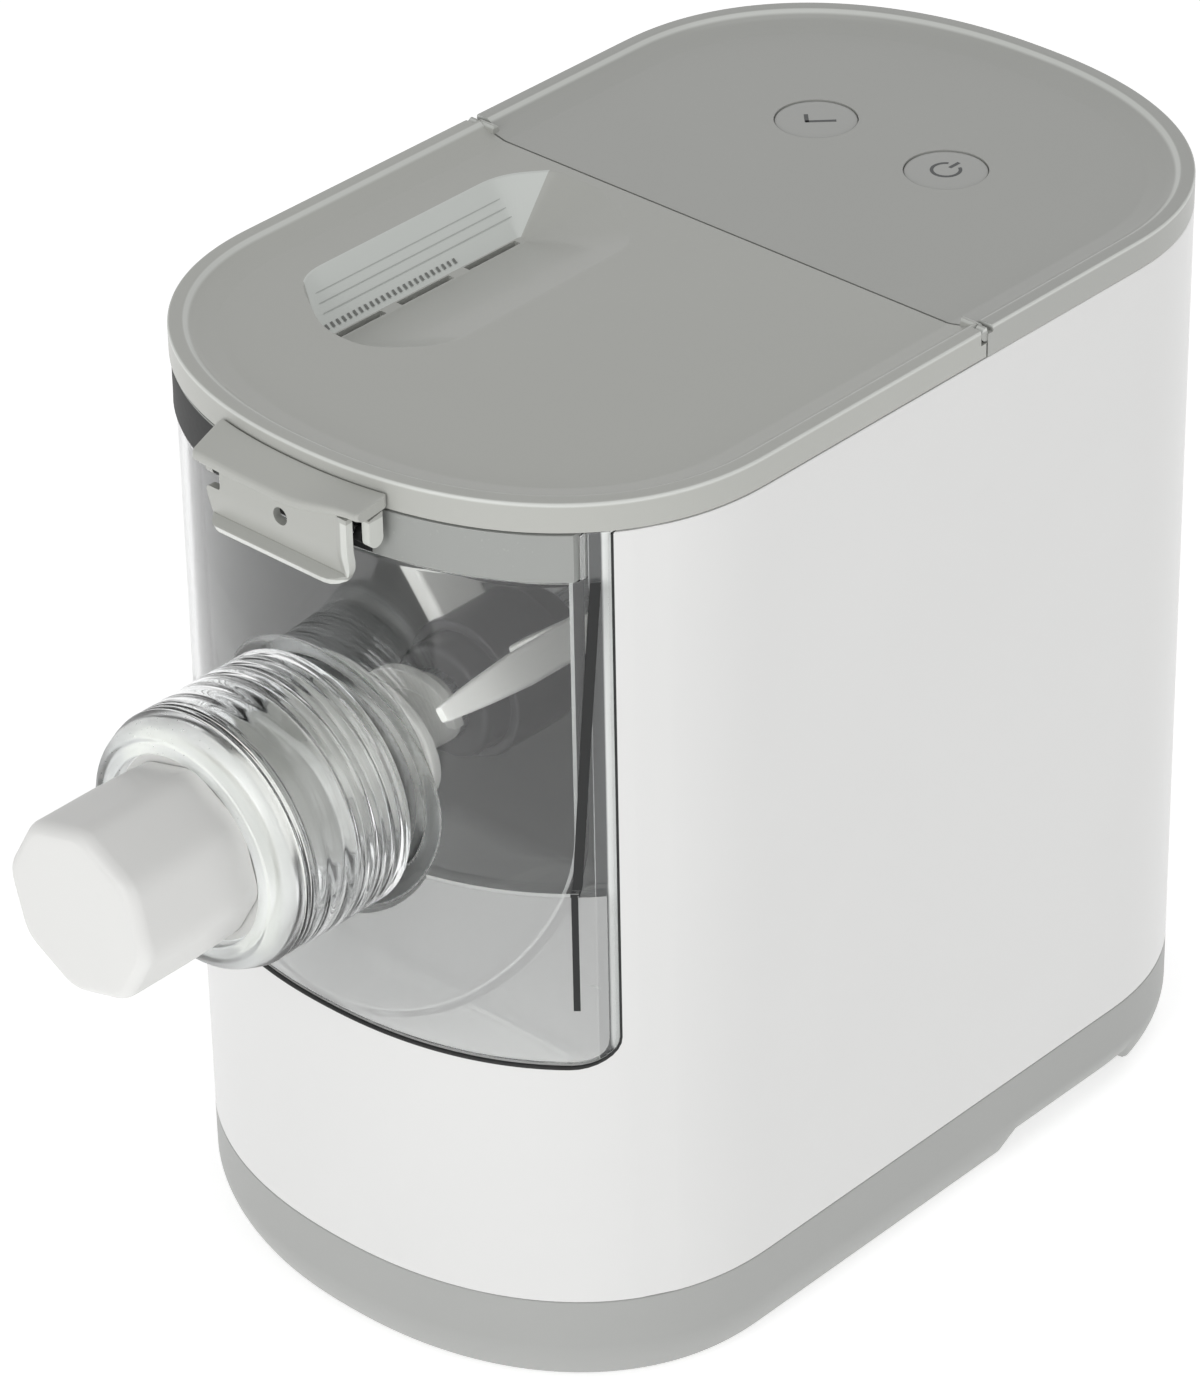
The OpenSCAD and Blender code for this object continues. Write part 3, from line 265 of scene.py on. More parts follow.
class Piece:
    """Collects the surfaces of one piece and turns them into a finished mesh object."""

    def __init__(self, name: str) -> None:
        """Starts an empty piece.

        Args:
            name: the object's name.
        """
        self.name = name
        self.points: list[Array] = []
        self.faces: list[list[int]] = []
        self.slots: list[int] = []
        self.count = 0

    def add(self, points: Array, faces: Array | list, slot: int = 0) -> None:
        """Adds points and the faces between them."""
        self.points.append(np.asarray(points, float))
        shifted = [[int(i) + self.count for i in f] for f in faces]
        self.faces.extend(shifted)
        self.slots.extend([slot] * len(shifted))
        self.count += len(points)

    def grid(self, points: Array, wrap_u: bool = False, wrap_v: bool = False,
             slot: int = 0, skip: Array | None = None) -> None:
        """A surface given as a grid of points (u, v, 3), joined into four-sided faces.

        Args:
            points: the grid.
            wrap_u: True if the last row joins the first.
            wrap_v: True if the last column joins the first.
            slot: the material slot of these faces.
            skip: True for each cell that is left open.
        """
        rows, columns = points.shape[:2]
        u = np.arange(rows if wrap_u else rows - 1)
        v = np.arange(columns if wrap_v else columns - 1)
        uu, vv = np.meshgrid(u, v, indexing="ij")
        un, vn = (uu + 1) % rows, (vv + 1) % columns
        quads = np.stack([uu * columns + vv, uu * columns + vn, un * columns + vn,
                          un * columns + vv], axis=-1).reshape(-1, 4)
        if skip is not None:
            quads = quads[~skip.ravel()]
        self.add(points.reshape(-1, 3), quads, slot)

    def sheet(self, outer: Array, holes: Sequence[Array], surface: Surface,
              spacing: float | tuple[float, float] = 0.0, slot: int = 0,
              creases: Sequence[Array] = ()) -> None:
        """A surface over the plane area inside outer and outside the holes, cut into Delaunay
        triangles with a lattice of points inside it, so that it can curve.

        Args:
            outer: closed boundary (n, 2).
            holes: closed boundaries of the holes.
            surface: lifts plane points (n, 2) into space.
            spacing: distance of the lattice's points, one or one each way, or 0 for none.
            slot: the material slot of these faces.
            creases: open lines inside the area that the triangles follow.
        """
        loops = [outer, *holes]
        edge = np.vstack([*loops, *creases])
        inner = np.zeros((0, 2))
        if spacing:
            step = np.broadcast_to(np.asarray(spacing, float), (2,))
            low, high = outer.min(0), outer.max(0)
            xs = np.arange(low[0] + step[0] / 2, high[0], step[0])
            ys = np.arange(low[1] + step[1] / 2, high[1], step[1])
            inner = np.stack(np.meshgrid(xs, ys), axis=-1).reshape(-1, 2)
            inner = inner[within(inner, outer, holes)]
            if len(inner):
                near = np.min(np.linalg.norm(inner[:, None] - edge[None], axis=2), axis=1)
                inner = inner[near > 0.45 * step.min()]
        edges, start = [], 0
        for i, line in enumerate([*loops, *creases]):
            run = np.arange(len(line)) + start
            pairs = np.column_stack([run, np.roll(run, -1)])
            edges.extend((pairs if i < len(loops) else pairs[:-1]).tolist())
            start += len(line)
        flat_points = [Vector(p) for p in np.vstack([edge, inner])]
        made = delaunay_2d_cdt(flat_points, edges, [], 0, 1e-7)
        verts = np.array([tuple(v) for v in made[0]])
        tris = np.array(made[2])
        keep = within(verts[tris].mean(axis=1), outer, holes)
        self.add(surface(verts), tris[keep], slot)

    def turned(self, profile: Array, centre: tuple[float, float] = NOZZLE_AXIS,
               axis: int = 1, steps: int = 96, closed: bool = True, slot: int = 0) -> None:
        """A profile of (radius, place along an axis) turned about that axis at centre."""
        turn = np.linspace(0.0, 2 * math.pi, steps, endpoint=False)
        r, along = profile[:, :1], profile[:, 1:]
        ring = [centre[0] + r * np.cos(turn), centre[1] + r * np.sin(turn)]
        ring.insert(axis, along + 0 * turn)
        self.grid(np.stack(ring, axis=-1), wrap_u=closed, wrap_v=True, slot=slot)

    def prism(self, loop: Array, ends: Sequence[float], axis: int = 0,
              slot: int = 0) -> None:
        """A closed bar: a loop carried along an axis from one end to the other."""
        self.grid(np.stack([flat(s, axis)(loop) for s in ends]), wrap_v=True, slot=slot)
        for s in ends:
            self.sheet(loop, [], flat(s, axis), slot=slot)

    def pair(self, loop: Array, ends: Sequence[float], slot: int = 0) -> None:
        """The same bar along X on the right and on the left."""
        for mirror in (1.0, -1.0):
            self.prism(loop, [x * mirror for x in ends], slot=slot)

    def rims(self, loop: Array, low: Surface, high: Surface, slot: int = 0) -> None:
        """The straight wall of a hole between two surfaces."""
        self.grid(np.stack([low(loop), high(loop)]), wrap_v=True, slot=slot)

    def build(self, finishes: Sequence["Finish"], body: str, *nodes: str, slot: str = "",
              sharp: float = 38.0, weighted: bool = True) -> bpy.types.Object:
        """Makes the mesh object, dresses it and puts it on its body.

        Args:
            finishes: one finish for each material slot.
            body: the body it rides on.
            nodes: nodes that it stands for.
            slot: the record's material slot; not used.
            sharp: angle in degrees above which an edge stays sharp.
            weighted: True to let large faces set the shading beside narrow roundings.

        Returns:
            The object.
        """
        points = (np.vstack(self.points) + [0.0, BODY_OFFSET, 0.0]) * MM
        mesh = bpy.data.meshes.new(self.name)
        mesh.from_pydata(points.tolist(), [], self.faces)
        for finish in finishes:
            mesh.materials.append(finish.material())
        mesh.polygons.foreach_set("material_index", np.array(self.slots, np.int32))
        work = bmesh.new()
        work.from_mesh(mesh)
        bmesh.ops.remove_doubles(work, verts=work.verts, dist=MERGE)
        bmesh.ops.dissolve_degenerate(work, edges=work.edges, dist=MERGE / 3)
        bmesh.ops.recalc_face_normals(work, faces=work.faces)
        work.to_mesh(mesh)
        work.free()
        mesh.shade_smooth()
        mesh.set_sharp_from_angle(angle=math.radians(sharp))
        made = bpy.data.objects.new(self.name, mesh)
        bpy.context.scene.collection.objects.link(made)
        if weighted:
            even = made.modifiers.new("even shading", "WEIGHTED_NORMAL")
            even.keep_sharp = True
        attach(made, body)
        if nodes:
            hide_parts(*nodes)
        LOG.info("%s: %d faces on %s", self.name, len(mesh.polygons), body)
        return made


# ------------------------------------------------------------------ finishes


def linear(colour: Sequence[float]) -> tuple[float, float, float, float]:
    """A colour given as screen values 0 to 255, as the linear values that shaders take."""
    share = np.asarray(colour, float) / 255.0
    value = np.where(share <= 0.04045, share / 12.92, ((share + 0.055) / 1.055) ** 2.4)
    return (*value.tolist(), 1.0)


def put(tree: bpy.types.NodeTree, kind: str, values: dict | None = None,
        feeds: dict | None = None, **settings: str) -> bpy.types.ShaderNode:
    """Adds a shader node.

    Args:
        tree: where it goes.
        kind: its type, without the leading words.
        values: the values of its open inputs.
        feeds: the sockets that feed its other inputs.
        settings: its attributes, set before its inputs.

    Returns:
        The node.
    """
    made = tree.nodes.new("ShaderNode" + kind)
    for key, value in settings.items():
        setattr(made, key, value)
    for key, value in (values or {}).items():
        made.inputs[key].default_value = value
    for key, source in (feeds or {}).items():
        tree.links.new(source, made.inputs[key])
    return made


def effect_group(name: str, inputs: Sequence[str],
                 fill: Callable[[bpy.types.NodeTree, dict, bpy.types.NodeSocket], tuple]
                 ) -> bpy.types.NodeTree:
    """A group of nodes with the outputs Mottle, Gloss and Height, built at its first use.

    Args:
        name: the group's name.
        inputs: names of its number inputs.
        fill: adds the nodes, given the tree, the inputs' sockets and the object coordinates,
            and returns the sockets of the three outputs.

    Returns:
        The group.
    """
    if name in bpy.data.node_groups:
        return bpy.data.node_groups[name]
    group = bpy.data.node_groups.new(name, "ShaderNodeTree")
    outs = ("Mottle", "Gloss", "Height")
    for way, keys in (("INPUT", inputs), ("OUTPUT", outs)):
        for key in keys:
            group.interface.new_socket(key, in_out=way, socket_type="NodeSocketFloat")
    entry = group.nodes.new("NodeGroupInput")
    leave = group.nodes.new("NodeGroupOutput")
    place = put(group, "TexCoord").outputs["Object"]
    for key, socket in zip(outs, fill(group, {k: entry.outputs[k] for k in inputs}, place)):
        group.links.new(socket, leave.inputs[key])
    return group


def moulded(tree: bpy.types.NodeTree, entry: dict, place: bpy.types.NodeSocket) -> tuple:
    """The skin of moulded plastic: fine grain, soft flow marks and handling dust."""
    grain = put(tree, "TexNoise", {"Detail": 3.0},
                {"Vector": place, "Scale": entry["Grain size"]}).outputs["Fac"]
    flow = put(tree, "TexNoise", {"Detail": 4.0, "Distortion": 0.6},
               {"Vector": place, "Scale": entry["Flow size"]}).outputs["Fac"]
    mottle = put(tree, "MapRange", {"From Min": 0.3, "From Max": 0.7}, {"Value": flow})
    half = put(tree, "Math", {1: 0.5}, {0: flow}, operation="MULTIPLY")
    gloss = put(tree, "Math", {1: 0.5}, {0: grain, 2: half.outputs[0]},
                operation="MULTIPLY_ADD")
    return mottle.outputs["Result"], gloss.outputs[0], grain


def brushed(tree: bpy.types.NodeTree, entry: dict, place: bpy.types.NodeSocket) -> tuple:
    """Drawn metal: long fine streaks along one axis."""
    stretch = put(tree, "Mapping", {"Scale": (1.0, 0.06, 1.0)}, {"Vector": place})
    streak = put(tree, "TexNoise", {"Detail": 4.0},
                 {"Vector": stretch.outputs["Vector"], "Scale": entry["Streak size"]})
    return (streak.outputs["Fac"],) * 3


@dataclass(frozen=True)
class PaintedBand:
    """A painted highlight or painted shade on a finish: a second colour, laid over the part
    where all of its smooth steps are 1.

    A step is an axis, or "side" for the distance from the middle plane, and the object
    coordinates in metres where it is 0 and where it is 1.
    """

    colour: tuple[float, float, float]
    steps: tuple[tuple[str, float, float], ...]

    def over(self, tree: bpy.types.NodeTree,
             below: bpy.types.NodeSocket) -> bpy.types.NodeSocket:
        """Lays the colour over another and gives the outcome's socket."""
        place = put(tree, "TexCoord").outputs["Object"]
        axes = put(tree, "SeparateXYZ", feeds={"Vector": place}).outputs
        side = put(tree, "Math", feeds={0: axes["X"]}, operation="ABSOLUTE").outputs[0]
        feeds = {}
        for axis, start, end in self.steps:
            feeds["Value"] = side if axis == "side" else axes[axis]
            step = put(tree, "MapRange", {"From Min": start, "From Max": end}, feeds,
                       interpolation_type="SMOOTHSTEP")
            feeds["To Max"] = step.outputs["Result"]
        return put(tree, "Mix", {"B": linear(self.colour)},
                   {"Factor": feeds["To Max"], "A": below}, data_type="RGBA").outputs["Result"]


@dataclass(frozen=True)
class Finish:
    """One surface finish: its colour, how it varies, its gloss and its grain."""

    name: str
    colour: tuple[float, float, float]
    rough: float = 0.4
    rough_span: float = 0.08
    shade: float = 0.97
    grain: float = 900.0
    flow: float = 14.0
    height: float = 0.02
    metal: float = 0.0
    coat: float = 0.0
    clear: float = 0.0
    index: float = 1.46
    drawn: bool = False
    alpha: float = 1.0
    # Painted highlights and painted shade laid over the colour.
    painted_light_bands: tuple[PaintedBand, ...] = ()

    def material(self) -> bpy.types.Material:
        """The material of this finish, made at its first use."""
        if self.name in bpy.data.materials:
            return bpy.data.materials[self.name]
        made = bpy.data.materials.new(self.name)
        made.use_nodes = True
        tree = made.node_tree
        skin = tree.nodes["Principled BSDF"]
        effect = tree.nodes.new("ShaderNodeGroup")
        if self.drawn:
            effect.node_tree = effect_group("Drawn metal", ("Streak size",), brushed)
        else:
            effect.node_tree = effect_group("Moulded skin", ("Grain size", "Flow size"),
                                            moulded)
            effect.inputs["Flow size"].default_value = self.flow
        effect.inputs[0].default_value = self.grain
        bright = linear(self.colour)
        dim = (*(c * self.shade for c in bright[:3]), 1.0)
        colour = put(tree, "Mix", {"A": dim, "B": bright},
                     {"Factor": effect.outputs["Mottle"]}, data_type="RGBA").outputs["Result"]
        # Painted highlights and painted shade go over the mottled colour.
        for band in self.painted_light_bands:
            colour = band.over(tree, colour)
        gloss = put(tree, "MapRange", {"To Min": max(0.0, self.rough - self.rough_span),
                                       "To Max": self.rough + self.rough_span},
                    {"Value": effect.outputs["Gloss"]})
        tree.links.new(colour, skin.inputs["Base Color"])
        tree.links.new(gloss.outputs["Result"], skin.inputs["Roughness"])
        if self.height:
            bump = put(tree, "Bump", {"Strength": self.height, "Distance": 0.0004},
                       {"Height": effect.outputs["Height"]})
            tree.links.new(bump.outputs["Normal"], skin.inputs["Normal"])
        for key, value in (("Metallic", self.metal), ("Coat Weight", self.coat),
                           ("Coat Roughness", 0.08), ("Transmission Weight", self.clear),
                           ("IOR", self.index), ("Alpha", self.alpha)):
            skin.inputs[key].default_value = value
        if self.clear:
            self.let_lamps_in(tree, skin)
        return made

    def let_lamps_in(self, tree: bpy.types.NodeTree, skin: bpy.types.ShaderNode) -> None:
        """Lets lamp light reach what lies behind: for shadow rays alone the skin is open."""
        path = put(tree, "LightPath")
        pane = put(tree, "BsdfTransparent", {"Color": (0.9, 0.9, 0.9, 1.0)})
        pick = put(tree, "MixShader", feeds={0: path.outputs["Is Shadow Ray"],
                                             1: skin.outputs[0], 2: pane.outputs[0]})
        tree.links.new(pick.outputs[0], tree.nodes["Material Output"].inputs["Surface"])


# Painted highlight: a lighter band on the rims' rounded upper edges, inside and out.
PAINTED_RIM_HIGHLIGHT = PaintedBand((203, 205, 201), (("Z", 0.2488, 0.2494), ("Z", 0.24998, 0.2498)))
WHITE_SHELL = Finish("White shell", (217, 217, 216), rough=0.34, shade=0.985, coat=0.25,
                     height=0.01)
TOP_GREY = Finish("Top grey", (174, 175, 170), rough=0.4, coat=0.2,
                  height=0.04, painted_light_bands=(PAINTED_RIM_HIGHLIGHT,))
PANEL_GREY = Finish("Panel grey", (166, 167, 163), rough=0.4, coat=0.2,
                    height=0.04, painted_light_bands=(PAINTED_RIM_HIGHLIGHT,))
SCOOP_LIGHT = Finish("Scoop light", (204, 208, 204), rough=0.3, coat=0.3,
                     height=0.02)
BASE_GREY = Finish("Base grey", (164, 165, 163), rough=0.45, height=0.05)
# Bay grey carries painted light: a painted pool of light on the front of the floor, where light
# comes in through the window, a dark strip of painted shade in the gap beside the cup, and a
# painted highlight on the edges further out.
BAY_GREY = Finish(
    "Bay grey", (172, 173, 172), rough=0.45, shade=0.95, height=0.04,
    painted_light_bands=(PaintedBand((240, 241, 239), (("Z", 0.0985, 0.0970), ("Y", -0.010, -0.022))),
           PaintedBand((58, 60, 60), (("side", 0.06505, 0.0652),)),
           PaintedBand((226, 227, 225), (("side", 0.0668, 0.0672),))))
COLLAR = Finish("Frosted collar", (149, 151, 148), rough=0.25, coat=0.3,
                height=0.0)
# Latch grey carries painted highlights: a lighter band along the flared lip's lower edge and a
# lighter right border on the tab.
LATCH_GREY = Finish("Latch grey", (172, 173, 168), rough=0.38, coat=0.2,
                    height=0.03, painted_light_bands=(PaintedBand((214, 216, 211), (("Z", 0.2249, 0.2243),)),
                                        PaintedBand((204, 206, 201), (("X", 0.0208, 0.0213),
                                                               ("Z", 0.2416, 0.2412)))))
BUTTON_GREY = Finish("Button grey", (170, 171, 168), rough=0.36, height=0.03)
CLEAR = Finish("Clear plastic", (253, 254, 254), rough=0.035, rough_span=0.03, shade=0.99,
               clear=1.0, height=0.0, index=1.49)
FROST = Finish("Frosted edge", (214, 216, 214), rough=0.4, height=0.0, alpha=0.6)
# Painted shade: a near-black finish put on edges, strips, lugs and patches where shade falls.
PAINTED_SHADE = Finish("Painted shade", (24, 25, 25), rough=0.6, shade=0.85, height=0.0)
MILKY = Finish("Milky band", (228, 229, 228), rough=0.35, shade=0.98, height=0.0, alpha=0.42)
INNER_GREY = Finish("Inner grey", (150, 151, 150), rough=0.5, shade=0.95, height=0.04)
SATIN = Finish("Satin clear plastic", (244, 246, 245), rough=0.3, rough_span=0.08,
               shade=0.98, clear=1.0, height=0.0, index=1.3)
CAP_WHITE = Finish("Cap white", (217, 217, 215), rough=0.4, shade=0.98, height=0.02)
TOOL_WHITE = Finish("Tool white", (240, 240, 236), rough=0.36, height=0.02)
HUB_DARK = Finish("Hub dark", (52, 52, 54), rough=0.35, shade=0.9, height=0.03)
SCALE_LINE = Finish("Scale line", (178, 182, 178), rough=0.5, shade=0.95, height=0.0)
SCALE_TICK = Finish("Scale tick", (112, 114, 111), rough=0.5, shade=0.95, height=0.0)
MARK_DARK = Finish("Printed mark", (74, 76, 76), rough=0.5, shade=0.92, height=0.0)
GEARBOX_GREY = Finish("Gearbox grey", (150, 152, 152), rough=0.5, shade=0.94, height=0.06)
RUBBER = Finish("Rubber", (40, 40, 41), rough=0.75, shade=0.85, height=0.12)
BLACK_PLASTIC = Finish("Black plastic", (34, 34, 36), rough=0.42, shade=0.88, height=0.06)
GEAR_CREAM = Finish("Gear cream", (226, 221, 202), rough=0.4, shade=0.95, height=0.03)
BOARD_GREEN = Finish("Board green", (24, 84, 48), rough=0.32, shade=0.85, coat=0.4,
                     flow=60.0)
STEEL = Finish("Turned steel", (190, 192, 195), rough=0.28, metal=1.0, shade=0.9,
               grain=700.0, height=0.05, drawn=True)
ZINC = Finish("Zinc plate", (172, 174, 177), rough=0.36, metal=1.0, shade=0.85, grain=300.0,
              height=0.06, drawn=True)
BRONZE = Finish("Sintered bronze", (176, 132, 84), rough=0.45, metal=1.0, shade=0.8,
                height=0.08)


class Dress(Enum):
    """The finishes of the nodes whose own solids show."""

    FEET_AND_SEALS = (RUBBER, "rubber_feet", "motor_bushes", "shaft_seal", "die_seal")
    TURNED = (STEEL, "base_screws", "inlet_pins", "gear_screws", "motor_cradle", "hinge_pins",
              "start_spring", "power_spring", "lid_magnet", "latch_pin", "latch_spring",
              "mixing_shaft", "output_shaft", "idler_shaft", "idler_pinion", "motor_shaft")
    BAY = (BAY_GREY, "cup_bay")
    ELECTRIC = (BLACK_PLASTIC, "power_inlet", "tact_switches", "lid_sensor", "cooling_fan")
    GEARBOX = (GEARBOX_GREY, "gear_front_plate", "gear_case")
    SINTERED = (BRONZE, "shaft_bushes", "motor_pinion")
    PLATED = (ZINC, "motor_can", "motor_end_cap", "motor_rotor")
    BOARD = (BOARD_GREEN, "control_board")
    LINER = (TOP_GREY, "lid_liner")
    GEARS = (GEAR_CREAM, "output_gear", "idler_gear")

    def put_on(self) -> None:
        """Puts the finish on its nodes' solids."""
        finish, *names = self.value
        for name in names:
            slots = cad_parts[name].data.materials
            slots.clear()
            slots.append(finish.material())


# ------------------------------------------------------------------ base and housing


def plan_sweep(profile: Array, path: Callable[[float, int], Array]) -> Array:
    """A profile of (inset, z) carried round the body's outline.

    Args:
        profile: points (n, 2).
        path: gives the plan points of row i at an inset.

    Returns:
        A grid (n, m, 3).
    """
    return np.stack([flat(z)(path(inset, i)) for i, (inset, z) in enumerate(profile)])


@dataclass
class Base:
    """The grey base: a tucked skirt with two finger cut-outs, and a floor with vent slots."""

    height: float = 26.0
    tuck: float = 4.0
    skirt: float = 1.2
    floor_low: float = 2.4
    floor_high: float = 5.8
    wall: float = 3.4
    notch_y: float = 54.0
    notch_l: float = 50.0
    notch_h: float = 4.8
    slot_x: tuple[float, ...] = (-24.0, -16.0, -8.0, 0.0, 8.0, 16.0, 24.0)
    slot_y: tuple[float, float] = (71.5, 101.5)
    slot_half: float = 1.4
    notch_soft: float = 4.0

    def lift(self, plan: Array) -> Array:
        """How far the skirt's lower edge is raised at each plan point: the cut-out's height
        times a smooth step at both of its ends, on the straight sides only."""
        edge = (self.notch_l / 2 - np.abs(plan[:, 1] - self.notch_y)) / self.notch_soft + 0.5
        return (self.notch_h - self.skirt) * smooth(edge)

    def build(self) -> None:
        """Builds the skirt, its inner wall and the floor."""
        piece = Piece("base_shell")
        half, depth = self.height / 2, self.height / 2 - self.skirt
        z = np.linspace(self.skirt, half, 14)
        bend = self.tuck * ((half - z) / depth) ** 1.9
        inner = self.tuck + self.wall
        start = rounded([[inner, self.floor_low], [inner, self.skirt],
                         [bend[0], self.skirt], [bend[1], z[1]]], [0, 0.5, 0.6, 0], False, 4)
        top = rounded([[0, self.height - 4], [0, self.height], [self.wall, self.height],
                       [self.wall, self.floor_high]], [0, 0.5, 0, 0], False, 4)
        profile = np.vstack([start, np.column_stack([bend, z])[2:], top])
        grid = plan_sweep(profile, lambda inset, i: PLAN.loop(inset))
        plan = grid[0, :, :2]
        rise = self.lift(PLAN.loop(0.0))
        share = np.clip((half - profile[:, 1]) / depth, 0, 1)
        grid[:, :, 2] += share[:, None] * rise[None]
        grid[0, :, 2] = self.floor_low
        piece.grid(grid, wrap_v=True)
        slots = [box_loop(x - self.slot_half, x + self.slot_half, *self.slot_y, 1.3, 3.0)
                 for x in self.slot_x]
        piece.sheet(plan, slots, flat(self.floor_low))
        piece.sheet(PLAN.loop(self.wall), slots, flat(self.floor_high))
        for loop in slots:
            piece.rims(loop, flat(self.floor_low), flat(self.floor_high))
        piece.build([BASE_GREY], "base", "base_tray", slot="base_grey")


@dataclass
class Housing:
    """The white shell: an upright wall with the front window, rear vents and inlet opening."""

    low: float = 26.0
    high: float = 242.0
    wall: float = 2.6
    window_half: float = 70.0
    window_low: float = 96.0
    window_r: float = 8.0
    edge: float = 0.8
    fixed: float = 74.0
    rear_half: float = 46.0
    rear_low: float = 30.0
    rear_high: float = 140.0
    inlet: tuple[float, float, float, float] = (-15.2, 15.2, 36.8, 59.2)
    vent_x: tuple[float, float] = (6.0, 40.0)
    vent_z: float = 88.0
    vent_h: float = 2.6
    vent_step: float = 7.0
    vent_rows: int = 6
    columns: int = 8
    top_step: float = 0.4
    foot_step: float = 0.5

    def window_x(self, z: Array, grow: float) -> Array:
        """Half width of the window at height z: straight, with a round lower corner."""
        r = self.window_r + grow
        centre_z = self.window_low + self.window_r
        drop = np.clip(centre_z - z, 0.0, r)
        return self.window_half - self.window_r + np.sqrt(np.maximum(r * r - drop * drop, 0.0))

    def side_path(self, inset: float, x: float) -> Array:
        """Plan points from (x, front) round the right side to (-x, front), by way of the rear.

        The first points run in equal steps of x from the window's edge to a fixed point, and
        the rear middle in equal steps too. All paths share the count of their points.

        Args:
            inset: distance inside the outline.
            x: half width of the window at this height.

        Returns:
            Points (n, 2).
        """
        xs = np.linspace(x, self.fixed, self.columns + 1)[:-1]
        near = np.column_stack([xs, PLAN.front_y(xs, inset)])
        outline = PLAN.loop(0.0)
        half = outline[:len(outline) // 2 + 1]
        keep = half[:, 0] > np.where(half[:, 1] < 0, self.fixed + 2.9, self.rear_half + 2.2)
        rest = PLAN.loop(inset)[:len(half)][keep]
        xs = np.linspace(self.rear_half, 0.0, 13)
        rear = np.column_stack([xs, -PLAN.front_y(xs, inset)])
        return mirrored(np.vstack([near, rest, rear]), 1)

    def low_path(self, inset: float, x: float) -> Array:
        """Plan points right round the shell below the window; x is its half width there."""
        across = np.linspace(-x, x, 61)[1:-1]
        mouth = np.column_stack([across, PLAN.front_y(across, inset)])
        return np.vstack([self.side_path(inset, x), mouth])

    def rear_cells(self, grid: Array) -> Array:
        """True for each cell of a grid that the rear sheet takes the place of."""
        middle = (grid[:-1, :-1] + grid[1:, 1:]) / 2
        return ((np.abs(middle[..., 0]) < self.rear_half) & (middle[..., 1] > 0)
                & (middle[..., 2] > self.rear_low) & (middle[..., 2] < self.rear_high))

    def rear_holes(self) -> list[Array]:
        """Outlines of the vents and of the power inlet's opening."""
        low, high = self.vent_x
        holes = [box_loop(min(low * m, high * m), max(low * m, high * m), z, z + self.vent_h,
                          1.25, 3.0)
                 for m in (1.0, -1.0)
                 for z in self.vent_z + self.vent_step * np.arange(self.vent_rows)]
        x0, x1, z0, z1 = self.inlet
        return [*holes, box_loop(x0, x1, z0, z1, 0.0, 3.0)]

    def build(self) -> None:
        """Builds outer and inner wall round the window, and the window's rounded edge."""
        piece = Piece("housing_shell")
        corner = self.window_low + self.window_r
        turn = np.linspace(0.0, math.pi / 2, 9)
        holes = self.rear_holes()
        for inset, grow in ((0.0, self.edge), (self.wall, 0.0)):
            skin = int(inset > 0.0)
            rows = np.r_[corner - (self.window_r + grow) * np.cos(turn),
                         np.linspace(corner, self.rear_high, 10)[1:],
                         np.linspace(self.rear_high, self.high, 16)[1:]]
            edge_x = self.window_x(rows, grow)
            if not skin:
                rows[-1] = self.high - self.top_step
                lip = edge_x, rows
            upper = np.stack([flat(z)(self.side_path(inset, x))
                              for x, z in zip(edge_x, rows)])
            ring = self.low_path(inset, edge_x[0])
            ring = np.vstack([ring, ring[:1]])
            lows = np.r_[self.low + (0.0 if skin else self.foot_step),
                         np.linspace(self.rear_low, self.window_low - grow, 10)]
            lower = np.stack([flat(z)(ring) for z in lows])
            for grid in (upper, lower):
                piece.grid(grid, skip=self.rear_cells(grid), slot=skin)
            levels = np.r_[lows[1:-1], rows[rows < self.rear_high + 1e-6]]
            xs = np.linspace(-self.rear_half, self.rear_half, 25)
            low, high = (np.full(24, z) for z in (self.rear_low, self.rear_high))
            side = np.full(len(levels) - 1, self.rear_half)
            outer = np.vstack([np.column_stack(pair) for pair in (
                (xs[:-1], low), (side, levels[:-1]), (xs[:0:-1], high), (-side, levels[:0:-1]))])
            piece.sheet(outer, holes, PLAN.onto(inset, 1), 3.8, slot=skin)
        for loop in holes:
            piece.rims(loop, PLAN.onto(0.0, 1), PLAN.onto(self.wall, 1))
        self.lips(piece, *lip)
        piece.build([WHITE_SHELL, INNER_GREY, PAINTED_SHADE], "base", "outer_housing",
                    slot="white_shell")

    def lips(self, piece: Piece, edge_x: Array, rows: Array) -> None:
        """The window's edge, the top edge and the bottom edge between the two skins.

        Each edge is a strip of rows: a quarter round on the outside, then straight in.

        Args:
            piece: the shell being built.
            edge_x: half width of the window's outer edge, row by row.
            rows: the heights of these rows.
        """
        e, r = self.edge, self.window_r
        turn = np.linspace(0.0, math.pi / 2, 5)
        centre_x, centre_z = self.window_half - r, self.window_low + r
        away = np.column_stack([edge_x - centre_x, np.minimum(rows - centre_z, 0.0)])
        unit = away / np.linalg.norm(away, axis=1)[:, None]
        strip = []
        for inset, grow in zip(np.r_[e * (1 - np.cos(turn)), self.wall],
                               np.r_[e * (1 - np.sin(turn)), 0.0]):
            shift = unit * (r + e - (r + grow))
            x = np.where(rows > centre_z, centre_x + r + grow, edge_x - shift[:, 0])
            z = np.where(rows > centre_z, rows, rows - shift[:, 1])
            right = np.column_stack([x, z])[::-1]
            sill = flat(self.window_low - grow, 1)(np.linspace(x[0], -x[0], 61)[1:-1, None])
            strip.append(PLAN.onto(inset)(np.vstack([right, sill, right[::-1] * [-1, 1]])))
